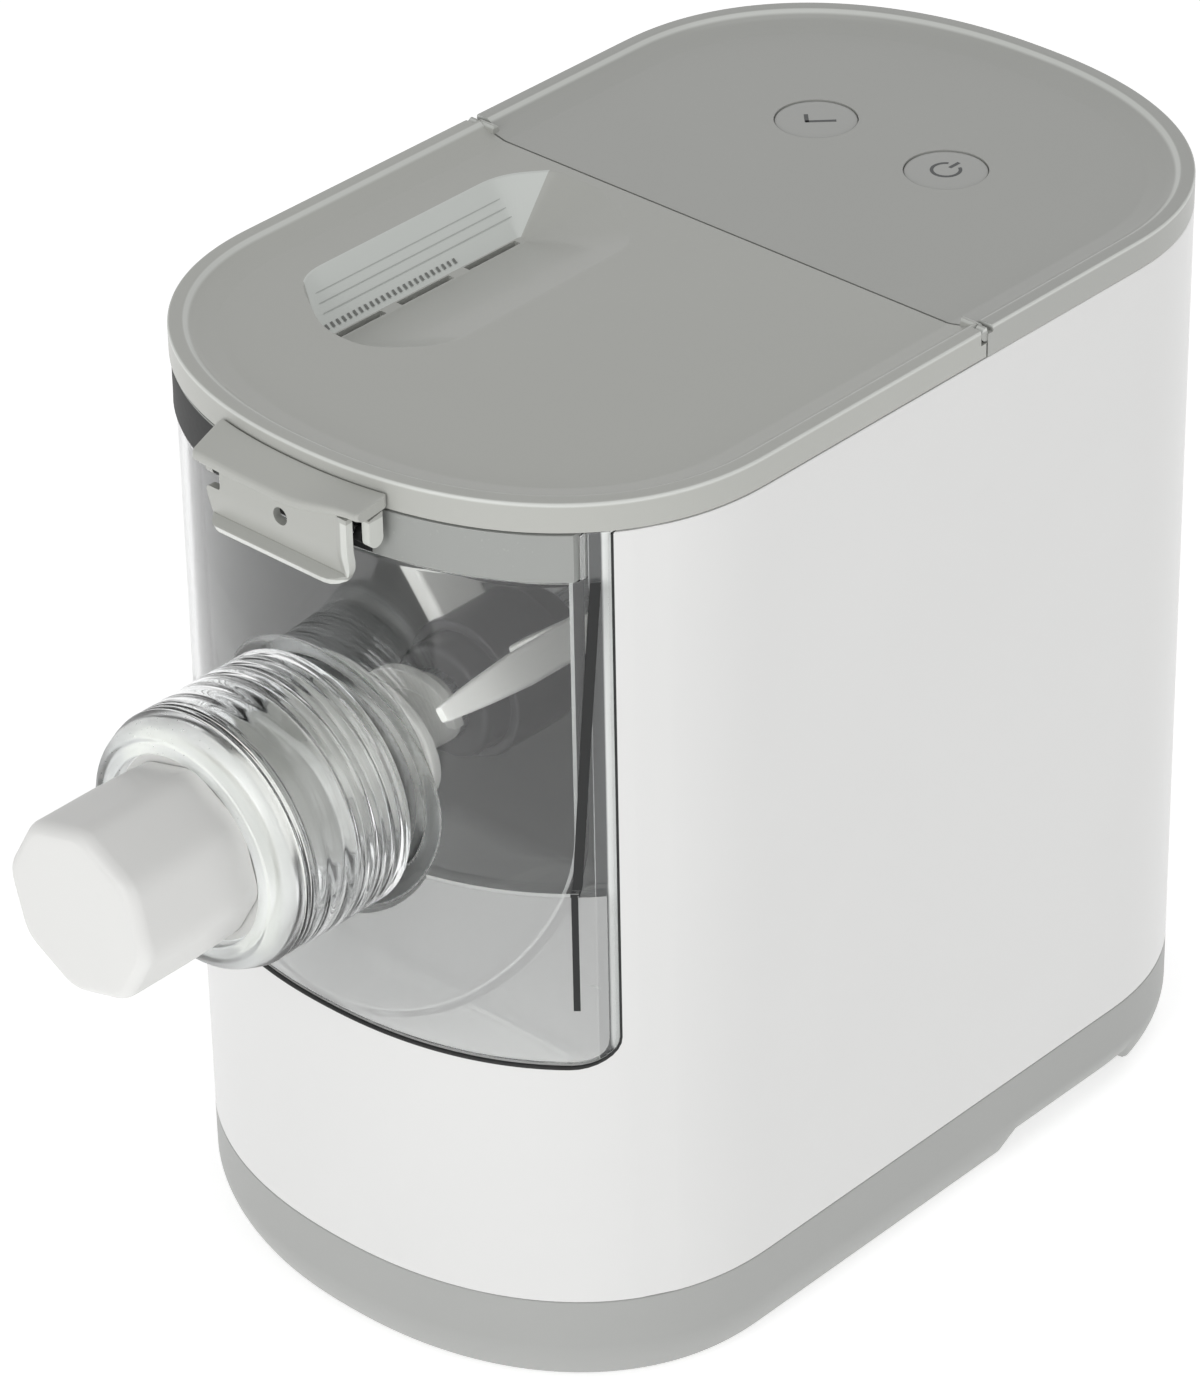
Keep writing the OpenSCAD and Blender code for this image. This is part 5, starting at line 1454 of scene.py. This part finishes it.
@dataclass
class Latch:
    """The rocking latch: a shelf along the rim, and a tab with a hole and a flared lip.

    The tab is a recessed panel with a raised border on its right and a cut-out at its upper
    left, where the hinge shows.
    """

    half: float = 26.5
    tab_half: float = 23.0
    tab_low: float = 223.7
    tab_high: float = 242.6
    notch_x: float = -18.5
    notch_z: float = 234.2
    shelf_top: float = 246.6
    shelf_y: float = -142.5
    shelf_z: float = 242.3
    rise: float = 3.0
    border_x: float = 19.4
    border: float = 0.8
    wall: float = 2.1
    hole_x: float = 1.0
    hole_z: float = 235.0
    hole_r: float = 2.2
    cheek_x: tuple[float, float] = (24.1, 26.4)
    cheek_r: float = 2.2
    tab_y: float = -139.6
    drawn: tuple[float, float, float] = (233.6, 7.4, 1.7)
    flare: tuple[float, float, float] = (226.2, 2.6, 3.4)

    def shelf_section(self, x: float) -> Array:
        """The shelf's section in Y and Z at x: it follows the rim and slopes to the front.

        To the right its front edge rises, so that it ends as a nearly level corner.

        Args:
            x: place along the shelf.

        Returns:
            Closed loop (n, 2).
        """
        rim = float(PLAN.front_y(np.array([x]), 0.0)[0]) - 0.4
        front = self.shelf_y + 0.4 * (rim + 133.9)
        t = min(max((x - 4.0) / 20.0, 0.0), 1.0)
        top = self.shelf_z + self.rise * float(smooth(t))
        corners = [[rim, self.shelf_top], [front, top], [front, top - 1.7 - 0.6 * (1 - t)],
                   [front + 2.4, top - 3.0], [rim, 243.2]]
        return rounded(corners, [0.5, 0.9, 0.6, 0.4, 0.3], True, 4)

    def tab_middle(self, x: Array, z: Array) -> Array:
        """Depth of the tab's middle sheet: level above, drawn in below, flared at the lip, and
        raised by a smooth step towards its right border."""
        drawn, flare = (np.clip((high - z) / run, 0.0, 1.0)
                        for high, run, _ in (self.drawn, self.flare))
        border = smooth((x - self.border_x) / 1.1) * self.border
        return (self.tab_y + self.drawn[2] * drawn**1.2 - self.flare[2] * flare**1.5
                - border * (1.0 - flare))

    def tab_surface(self, side: float) -> Surface:
        """Lifts X and height to the tab's front (side -1) or back (side 1)."""
        def lift(uv: Array) -> Array:
            """The middle sheet's point moved half a wall along its normal."""
            x, z = uv[:, 0], uv[:, 1]
            y = self.tab_middle(x, z)
            slope = (self.tab_middle(x, z + 0.05) - y) / 0.05
            length = np.sqrt(1 + slope**2)
            half = self.wall / 2
            return np.column_stack([x, y + side * half / length,
                                    z - side * half * slope / length])
        return lift

    def build(self) -> None:
        """Builds shelf, tab and the two cheeks."""
        piece = Piece("rocking_latch")
        xs = np.r_[-self.half, np.linspace(-self.half + 0.5, self.half - 0.5, 41), self.half]
        rows = []
        for x in xs:
            section = self.shelf_section(float(np.clip(x, 0.5 - self.half, self.half - 0.5)))
            if abs(x) == self.half:
                section = section.mean(0) + (section - section.mean(0)) * 0.86
            rows.append(flat(x, 0)(section))
        piece.grid(np.stack(rows), wrap_v=True)
        for end in (0, -1):
            piece.sheet(rows[end][:, 1:], [], flat(xs[end], 0))
        w = self.tab_half
        corners = [[-w, self.tab_low], [w, self.tab_low], [w, self.tab_high],
                   [self.notch_x, self.tab_high], [self.notch_x, self.notch_z],
                   [-w, self.notch_z]]
        loop = resampled(rounded(corners, [3.5, 9.0, 0.0, 0.0, 0.8, 1.2], steps=8), 1.3)
        hole = circle_loop(self.hole_x, self.hole_z, self.hole_r, 32)
        front, back = self.tab_surface(-1.0), self.tab_surface(1.0)
        for skin in (front, back):
            piece.sheet(loop, [hole], skin, 1.1)
        for edge in (loop, hole):
            piece.rims(edge, front, back)
        turn = np.linspace(math.pi, 2 * math.pi, 17)
        cheek = np.vstack([arc(*LATCH_PIN, self.cheek_r, turn),
                           [[-133.1, 242.9], [-137.5, 241.9]]])
        piece.pair(cheek, self.cheek_x)
        made = piece.build([LATCH_GREY], "latch", "latch", slot="latch_grey")
        soften(made, 0.35)


def soften(made: bpy.types.Object, width: float) -> None:
    """Rounds an object's sharp edges by a width in millimetres."""
    round_off = made.modifiers.new("round edges", "BEVEL")
    round_off.width = width * MM
    round_off.segments = 2
    round_off.limit_method = "ANGLE"
    round_off.angle_limit = math.radians(40)
    round_off.harden_normals = False
    made.modifiers.move(len(made.modifiers) - 1, 0)


# ------------------------------------------------------------------ nozzle


@dataclass
class Nozzle:
    """Barrel, nut and cap on one axis."""

    barrel_r: float = 27.0
    barrel_bore: float = 21.5
    barrel_front: float = -162.7
    boss_y: float = -125.0
    nut_back: float = -134.5
    nut_seat: float = -169.1
    nut_front: float = -175.9
    nut_r: float = 33.0
    nut_bore: float = 29.6
    hole_r: float = 24.3
    thread: float = 5.5
    barrel_thread: tuple[float, float] = (-140.0, -160.0)
    nut_thread: tuple[float, float] = (-161.0, -139.0)
    barrel_back: float = -121.0
    collar_r: tuple[float, float] = (20.0, 24.0)
    collar_front: float = -168.7
    cap_r: float = 23.6
    cap_front: float = -209.9

    def barrel(self) -> None:
        """The clear barrel: a flange behind the boss and an outer thread under the nut.

        The thread's radius is r + h sin^2 of the distance along the axis.
        """
        piece = Piece("clear_barrel")
        y = np.linspace(*self.barrel_thread, 81)
        wave = np.sin((y - self.barrel_thread[0]) / self.thread * math.pi)**2
        thread = np.column_stack([self.barrel_r + 0.25 * wave, y])
        head = np.array([[self.barrel_r + 2, self.boss_y + 2.2],
                         [self.barrel_r + 2.4, self.boss_y + 0.05],
                         [self.barrel_r, self.boss_y + 0.05]])
        tail = np.array([[self.barrel_r, self.barrel_front + 0.5],
                         [self.barrel_r - 0.5, self.barrel_front],
                         [self.barrel_bore + 0.4, self.barrel_front],
                         [self.barrel_bore, self.barrel_front + 0.4],
                         [self.barrel_bore, self.barrel_back],
                         [self.barrel_bore + 6, self.barrel_back]])
        piece.turned(np.vstack([head, thread, tail]))
        piece.build([CLEAR], "cup", "extrusion_barrel", slot="clear_plastic", weighted=False)

    def grooves(self, radius: float, start: float, pitch: float, count: int,
                depth: float) -> Array:
        """Fine turned lines in a wall: the radius falls by depth sin^8 of the way along.

        Args:
            radius: the wall's radius.
            start: y of the first line's rear.
            pitch: distance between lines, towards the front.
            count: how many lines.
            depth: how deep they are.

        Returns:
            Points (n, 2) of radius and y.
        """
        way = np.linspace(0.0, count, 12 * count + 1)
        return np.column_stack([radius - depth * np.abs(np.sin(math.pi * way))**8,
                                start - pitch * way])

    def nut(self) -> None:
        """The clear nut: six lines round its rear half, three at its front, a lipped end."""
        piece = Piece("clear_clamp_nut")
        r, back, front = self.nut_r, self.nut_back, self.nut_front
        rings = np.vstack([self.grooves(r - 0.1, back - 1.8, 2.75, 6, 0.38),
                           self.grooves(r - 0.35, self.nut_seat + 5.2, 1.7, 3, 0.22)])
        start = rounded([[self.nut_bore, back], [r, back], [r - 0.1, back - 1.8]],
                        [0, 0.6, 0], False, 4)
        end = rounded([[r - 0.35, self.nut_seat + 0.1], [r - 0.8, self.nut_seat - 1.5],
                       [r - 2.2, front + 1.6], [r - 4.6, front], [r - 5.6, front + 0.4],
                       [r - 6.6, front], [self.hole_r, front],
                       [self.hole_r, self.nut_seat], [self.nut_bore, self.nut_seat]],
                      [0, 0.6, 1.2, 0.5, 0.4, 0.4, 0.6, 0.3, 0.5], False, 4)
        y = np.linspace(*self.nut_thread, 91)
        wave = np.sin((y - self.nut_thread[1]) / self.thread * math.pi)**2
        bore = np.column_stack([self.nut_bore - 0.22 * wave, y])
        wall = np.vstack([start, rings[1:], end[:1]])
        inner = np.vstack([end[-1:], bore, start[:1]])
        for profile, slot in ((wall, 0), (end, 1), (inner, 0)):
            piece.turned(profile, steps=128, closed=False, slot=slot)
        piece.build([CLEAR, SATIN], "nut", "clamp_nut", slot="clear_plastic",
                    weighted=False)

    def cap(self) -> None:
        """The white cap: an octagon with soft corners, rounded off at its front."""
        piece = Piece("white_outlet_cap")
        turn = np.radians(15 + 22.5 + 45 * np.arange(8))
        back, front = self.nut_front + 2.4, self.cap_front
        soft = np.linspace(0.0, math.pi / 2, 9)[:-1]
        steps = [(back, 0.9), (self.nut_front - 3, 0.5), (-190.0, 0.2)]
        steps += [(front + 3.6 - 3.6 * math.sin(t), 0.2 + 3.6 * (1 - math.cos(t)))
                  for t in soft]
        rows = []
        for y, inset in steps:
            ring = arc(0.0, 0.0, self.cap_r - inset, turn)
            rows.append(flat(y, 1)(evenly(rounded(ring, 3.6, True, 8), 128)
                                   + NOZZLE_AXIS))
        last = rows[-1]
        middle = np.array([0.0, front, AXIS_Z])
        for share in (0.9, 0.75, 0.5, 0.25):
            ring = middle + (last - middle) * share
            ring[:, 1] = front + (last[0, 1] - front) * share**6
            rows.append(ring)
        piece.grid(np.stack(rows), wrap_v=True)
        piece.sheet(rows[-1][:, [0, 2]], [], flat(float(rows[-1][0, 1]), 1))
        piece.sheet(rows[0][:, [0, 2]], [], flat(back, 1))
        r0, r1 = self.collar_r
        collar = rounded([[r0, back + 0.5], [r1, back + 0.5], [r1, self.collar_front],
                          [r0, self.collar_front]], 0.4)
        piece.turned(collar[::-1])
        piece.build([CAP_WHITE], "cap", "outlet_cap", slot="cap_white")

    def build(self) -> None:
        """Builds all three."""
        self.barrel()
        self.nut()
        self.cap()


# ------------------------------------------------------------------ screw and paddle


@dataclass
class MixingTools:
    """Hub, paddle and pressing screw, which turn together about the nozzle's axis."""

    hub_r: float = 15.0
    hub: tuple[float, float] = (-90.5, -53.5)
    core_r: float = 9.0
    flight_r: float = 20.9
    screw: tuple[float, float] = (-157.7, -92.5)
    lead: float = 17.0
    flight_t: float = 3.4
    run_out: float = 6.6
    arms: tuple[tuple[float, float, float], ...] = ((38.0, 43.0, -121.5),
                                                    (218.0, 55.0, -114.5))
    scraper_back: float = -24.5
    arm_y: tuple[float, float] = (-78.5, -70.5)
    arm_root: float = 16.0
    arm_half: float = 4.5
    blade: float = 128.0
    blade_reach: float = 42.0
    blade_y: tuple[float, float] = (-80.5, -64.5)
    blade_half: float = 3.0
    ring_r: float = 18.0
    ring_y: tuple[float, float] = (-82.5, -61.5)
    foot: float = 0.3

    def around(self, angle: float, radial: Array, y: Array, across: Array) -> Array:
        """Places points given by radius, depth and distance across the arm's direction."""
        c, s = math.cos(math.radians(angle)), math.sin(math.radians(angle))
        return np.column_stack([radial * c - across * s, y, AXIS_Z + radial * s + across * c])

    def bar(self, piece: Piece, angle: float, radii: tuple[float, float],
            depth: tuple[float, float], half: float) -> None:
        """A bar with rounded edges; it is swept along its longer side.

        Args:
            piece: the paddle.
            angle: direction in degrees.
            radii: distances of its ends from the axis.
            depth: y of its front and rear.
            half: half of its thickness.
        """
        (r0, r1), (y0, y1) = radii, depth
        out = r1 - r0 > y1 - y0
        low, high = depth if out else radii
        loop = rounded([[low, -half], [high, -half], [high, half], [low, half]], 1.6)
        mid = loop.mean(0)
        if out:
            steps = [(r0, 1.0), (r1 - 1.2, 1.0), (r1 - 0.4, 0.94), (r1, 0.8)]
        else:
            steps = [(y0, 0.38), (y0 + 0.5, 0.46), (y0 + 2.0, 0.52), (y0 + 14.0, 0.8),
                     (y0 + 26.0, 1.0), (y1 - 1.2, 1.0), (y1 - 0.4, 0.94), (y1, 0.8)]
        rows = []
        for at, k in steps:
            section = (loop - mid) * k + mid
            along = np.full(len(loop), at)
            place = (along, section[:, 0]) if out else (section[:, 0], along)
            rows.append(self.around(angle, *place, section[:, 1]))
        grid = np.stack(rows)
        piece.grid(grid, wrap_v=True)
        for end in (grid[0], grid[-1]):
            small = end.mean(0) + (end - end.mean(0)) * 0.02
            piece.grid(np.stack([end, small]), wrap_v=True)
            piece.add(small, [list(range(len(end)))])

    def build_paddle(self) -> None:
        """Builds the ring, both long arms with their scraper bars, and the short blade."""
        piece = Piece("white_paddle")
        (y0, y1), r = self.ring_y, self.hub_r + 0.02
        ring = rounded([[r, y0], [self.ring_r, y0], [self.ring_r, y1], [r, y1]], 0.8)
        piece.turned(ring, slot=1)
        for angle, reach, front in self.arms:
            self.bar(piece, angle, (self.arm_root, reach - 0.5), self.arm_y, self.arm_half)
            self.bar(piece, angle, (reach - 6.0, reach), (front, self.scraper_back),
                     self.arm_half)
        self.bar(piece, self.blade, (self.arm_root, self.blade_reach), self.blade_y,
                 self.blade_half)
        piece.build([TOOL_WHITE, HUB_DARK], "screw", "mixing_paddle", slot="white_plastic")

    def build_hub(self) -> None:
        """Builds the dark hub with its rounded nose."""
        piece = Piece("dark_hub")
        front, back = self.hub
        profile = rounded([[self.core_r + 0.02, front], [self.hub_r, front],
                           [self.hub_r, back], [self.core_r + 0.02, back]],
                          [0.3, 2.4, 0.8, 0.3], True, 5)
        piece.turned(profile)
        piece.build([HUB_DARK], "screw", "paddle_hub", slot="hub_dark")

    def build_screw(self) -> None:
        """Builds the core and the helical flight.

        A point of the flight is (r cos a, y - lead a / 2 pi + d, r sin a), where r and d run
        round the flight's section and a runs along the screw.
        """
        piece = Piece("pressing_screw")
        front, back = self.screw
        core = rounded([[0.3, front], [self.core_r - 0.8, front], [self.core_r, front + 3.0],
                        [self.core_r, back], [0.3, back]], [0, 1.2, 0.8, 0.2, 0], False, 4)
        piece.turned(core, closed=False)
        for y in (front, back):
            piece.sheet(circle_loop(*NOZZLE_AXIS, 0.3, 96), [], flat(y, 1))
        half, root = self.flight_t / 2, self.core_r - self.foot
        section = rounded([[root, -half - 0.6], [self.flight_r, -half + 0.3],
                           [self.flight_r, half - 0.3], [root, half + 0.6]],
                          [0.2, 0.7, 0.7, 0.2], True, 4)
        turns = (back - front - 2 * half - 2.0) / self.lead
        angle = np.linspace(0.0, 2 * math.pi * turns, int(48 * turns))[:, None]
        r, d = section[:, 0], section[:, 1]
        y = back - half - 1.0 - self.lead * angle / (2 * math.pi) + d
        grown = np.clip(0.2 + 0.8 * angle / self.run_out, 0.2, 1.0)
        r = root + (r - root) * grown
        grid = np.stack([r * np.cos(angle), y, AXIS_Z + r * np.sin(angle)], axis=-1)
        piece.grid(grid, wrap_v=True)
        for end in (grid[0], grid[-1]):
            piece.add(end, [list(range(len(end)))])
        piece.build([TOOL_WHITE], "screw", "auger", slot="white_plastic")

    def build(self) -> None:
        """Builds all three."""
        self.build_hub()
        self.build_paddle()
        self.build_screw()


@dataclass
class ShapingDisc:
    """The white disc in the nut, with noodle slots set like spokes."""

    rim_r: float = 27.0
    plug_r: float = 21.2
    front: float = -168.8
    back: float = -163.8
    plug_back: float = -160.5
    slots: int = 8

    def build(self) -> None:
        """Builds the stepped disc with its slots running right through."""
        piece = Piece("noodle_disc")
        holes = []
        for k in range(self.slots):
            a = 2 * math.pi * k / self.slots
            loop = box_loop(self.rim_r * 0.29, 17.5, -0.8, 0.8, 0.5, 3.0)
            turned = np.column_stack([loop[:, 0] * math.cos(a) - loop[:, 1] * math.sin(a),
                                      loop[:, 0] * math.sin(a) + loop[:, 1] * math.cos(a)])
            holes.append(turned + NOZZLE_AXIS)
        face = circle_loop(*NOZZLE_AXIS, self.rim_r - 0.5, 96)
        plug = circle_loop(*NOZZLE_AXIS, self.plug_r, 96)
        piece.sheet(face, holes, flat(self.front, 1))
        piece.sheet(plug, holes, flat(self.plug_back, 1))
        for loop in holes:
            piece.rims(loop, flat(self.front, 1), flat(self.plug_back, 1))
        rim = rounded([[self.rim_r - 0.5, self.front], [self.rim_r, self.front + 0.5],
                       [self.rim_r, self.back], [self.plug_r, self.back],
                       [self.plug_r, self.plug_back]], [0, 0.2, 0.4, 0.3, 0], False, 3)
        piece.turned(rim, closed=False)
        piece.build([TOOL_WHITE], "disc", "shaping_disc", slot="white_plastic")


# ------------------------------------------------------------------ camera, light, stage


@dataclass(frozen=True)
class Viewpoint:
    """The camera: its direction, distance, roll, lens and small offset, in millimetres."""

    azimuth: float = 43.21
    elevation: float = 32.34
    roll: float = 1.148
    distance: float = 1521.0
    focal: float = 6075.8
    long_side: float = 1393.0
    offset: tuple[float, float] = (23.9, 5.0)
    centre: tuple[float, float, float] = (0.0, 38.2, 125.0)

    def build(self) -> None:
        """Makes the camera and sets it as the scene's own.

        Its axes are right, up and back of the direction, rolled about back, and its place is
        the centre moved by the offset and the distance along them.
        """
        a, e = math.radians(self.azimuth), math.radians(self.elevation)
        r = math.radians(self.roll)
        back = np.array([math.sin(a) * math.cos(e), -math.cos(a) * math.cos(e), math.sin(e)])
        right = np.array([math.cos(a), math.sin(a), 0.0])
        up = np.cross(back, right)
        rolled = np.array([[math.cos(r), -math.sin(r), 0], [math.sin(r), math.cos(r), 0],
                           [0, 0, 1]]) @ np.array([right, up, back])
        place = np.array(self.centre) + rolled.T @ [-self.offset[0], -self.offset[1],
                                                    self.distance]
        data = bpy.data.cameras.new("camera")
        data.sensor_width = 36.0
        data.lens = self.focal / self.long_side * 36.0
        data.clip_start, data.clip_end = 0.05, 60.0
        camera = bpy.data.objects.new("camera", data)
        frame = np.eye(4)
        frame[:3, :3] = rolled.T
        frame[:3, 3] = place * MM
        camera.matrix_world = Matrix(frame.tolist())
        bpy.context.scene.collection.objects.link(camera)
        bpy.context.scene.camera = camera


@dataclass(frozen=True)
class Lamp:
    """One soft studio lamp aimed at the machine's middle."""

    name: str
    place: tuple[float, float, float]
    power: float
    size: float

    def build(self) -> None:
        """Makes the lamp."""
        data = bpy.data.lights.new(self.name, "AREA")
        data.shape = "DISK"
        data.size = self.size
        data.energy = self.power
        lamp = bpy.data.objects.new(self.name, data)
        lamp.location = self.place
        aim = Vector((0.0, 0.03, 0.12)) - Vector(self.place)
        lamp.rotation_mode = "QUATERNION"
        lamp.rotation_quaternion = aim.to_track_quat("-Z", "Y")
        bpy.context.scene.collection.objects.link(lamp)


@dataclass
class Studio:
    """Floor, world and lamps."""

    world_light: float = 0.46
    floor_half: float = 40.0
    floor_glow: float = 0.48
    lamps: tuple[Lamp, ...] = field(default_factory=lambda: (
        Lamp("front lamp", (0.2, -1.74, 0.66), 10.6, 1.1),
        Lamp("right lamp", (1.8, -0.1, 0.8), 5.1, 1.2),
        Lamp("top lamp", (0.1, 0.3, 1.9), 3.6, 1.3)))

    def white_where_seen(self, tree: bpy.types.NodeTree) -> bpy.types.NodeSocket:
        """1 for rays from the camera, mirrors and glass, and 0 for the light on the object."""
        path = put(tree, "LightPath").outputs
        value = path["Is Camera Ray"]
        for other in ("Is Glossy Ray", "Is Transmission Ray"):
            value = put(tree, "Math", feeds={0: value, 1: path[other]},
                        operation="MAXIMUM").outputs[0]
        return value

    def floor(self) -> None:
        """Builds the pale floor, which glows a little so that it stays white."""
        mesh = bpy.data.meshes.new("floor")
        side = self.floor_half
        mesh.from_pydata([(-side, -side, 0), (side, -side, 0), (side, side, 0),
                          (-side, side, 0)], [], [(0, 1, 2, 3)])
        paint = bpy.data.materials.new("Studio floor")
        paint.use_nodes = True
        tree = paint.node_tree
        skin = tree.nodes["Principled BSDF"]
        skin.inputs["Base Color"].default_value = (0.93, 0.93, 0.93, 1.0)
        skin.inputs["Roughness"].default_value = 0.9
        glow = put(tree, "Emission", {"Strength": self.floor_glow})
        both = put(tree, "AddShader", feeds={0: skin.outputs[0], 1: glow.outputs[0]})
        tree.links.new(both.outputs[0], tree.nodes["Material Output"].inputs["Surface"])
        mesh.materials.append(paint)
        floor = bpy.data.objects.new("floor", mesh)
        bpy.context.scene.collection.objects.link(floor)

    def build(self) -> None:
        """Builds the world, the floor and the lamps, and sets the view transform."""
        world = bpy.data.worlds.new("studio")
        bpy.context.scene.world = world
        world.use_nodes = True
        tree = world.node_tree
        shade = tree.nodes["Background"]
        level = put(tree, "MapRange", {"To Min": self.world_light, "To Max": 1.0},
                    {"Value": self.white_where_seen(tree)})
        tree.links.new(level.outputs["Result"], shade.inputs["Strength"])
        shade.inputs["Color"].default_value = (1.0, 1.0, 1.0, 1.0)
        self.floor()
        for lamp in self.lamps:
            lamp.build()
        bpy.context.scene.view_settings.view_transform = "Standard"


def main() -> None:
    """Builds every part of the machine and the studio, in order."""
    logging.basicConfig(level=logging.INFO, format="%(message)s")
    Viewpoint().build()
    Studio().build()
    for dress in Dress:
        dress.put_on()
    makers = (Base(), Housing(), FrontLid(), RearPanel(),
              Button("start_button_cap", "start_button", -21.0),
              Button("power_button_cap", "power_button", 21.0, power=True),
              MixingCup(), Collar(), Latch(), Nozzle(), MixingTools(), ShapingDisc())
    for maker in makers:
        maker.build()


if __name__ == "__main__":
    main()
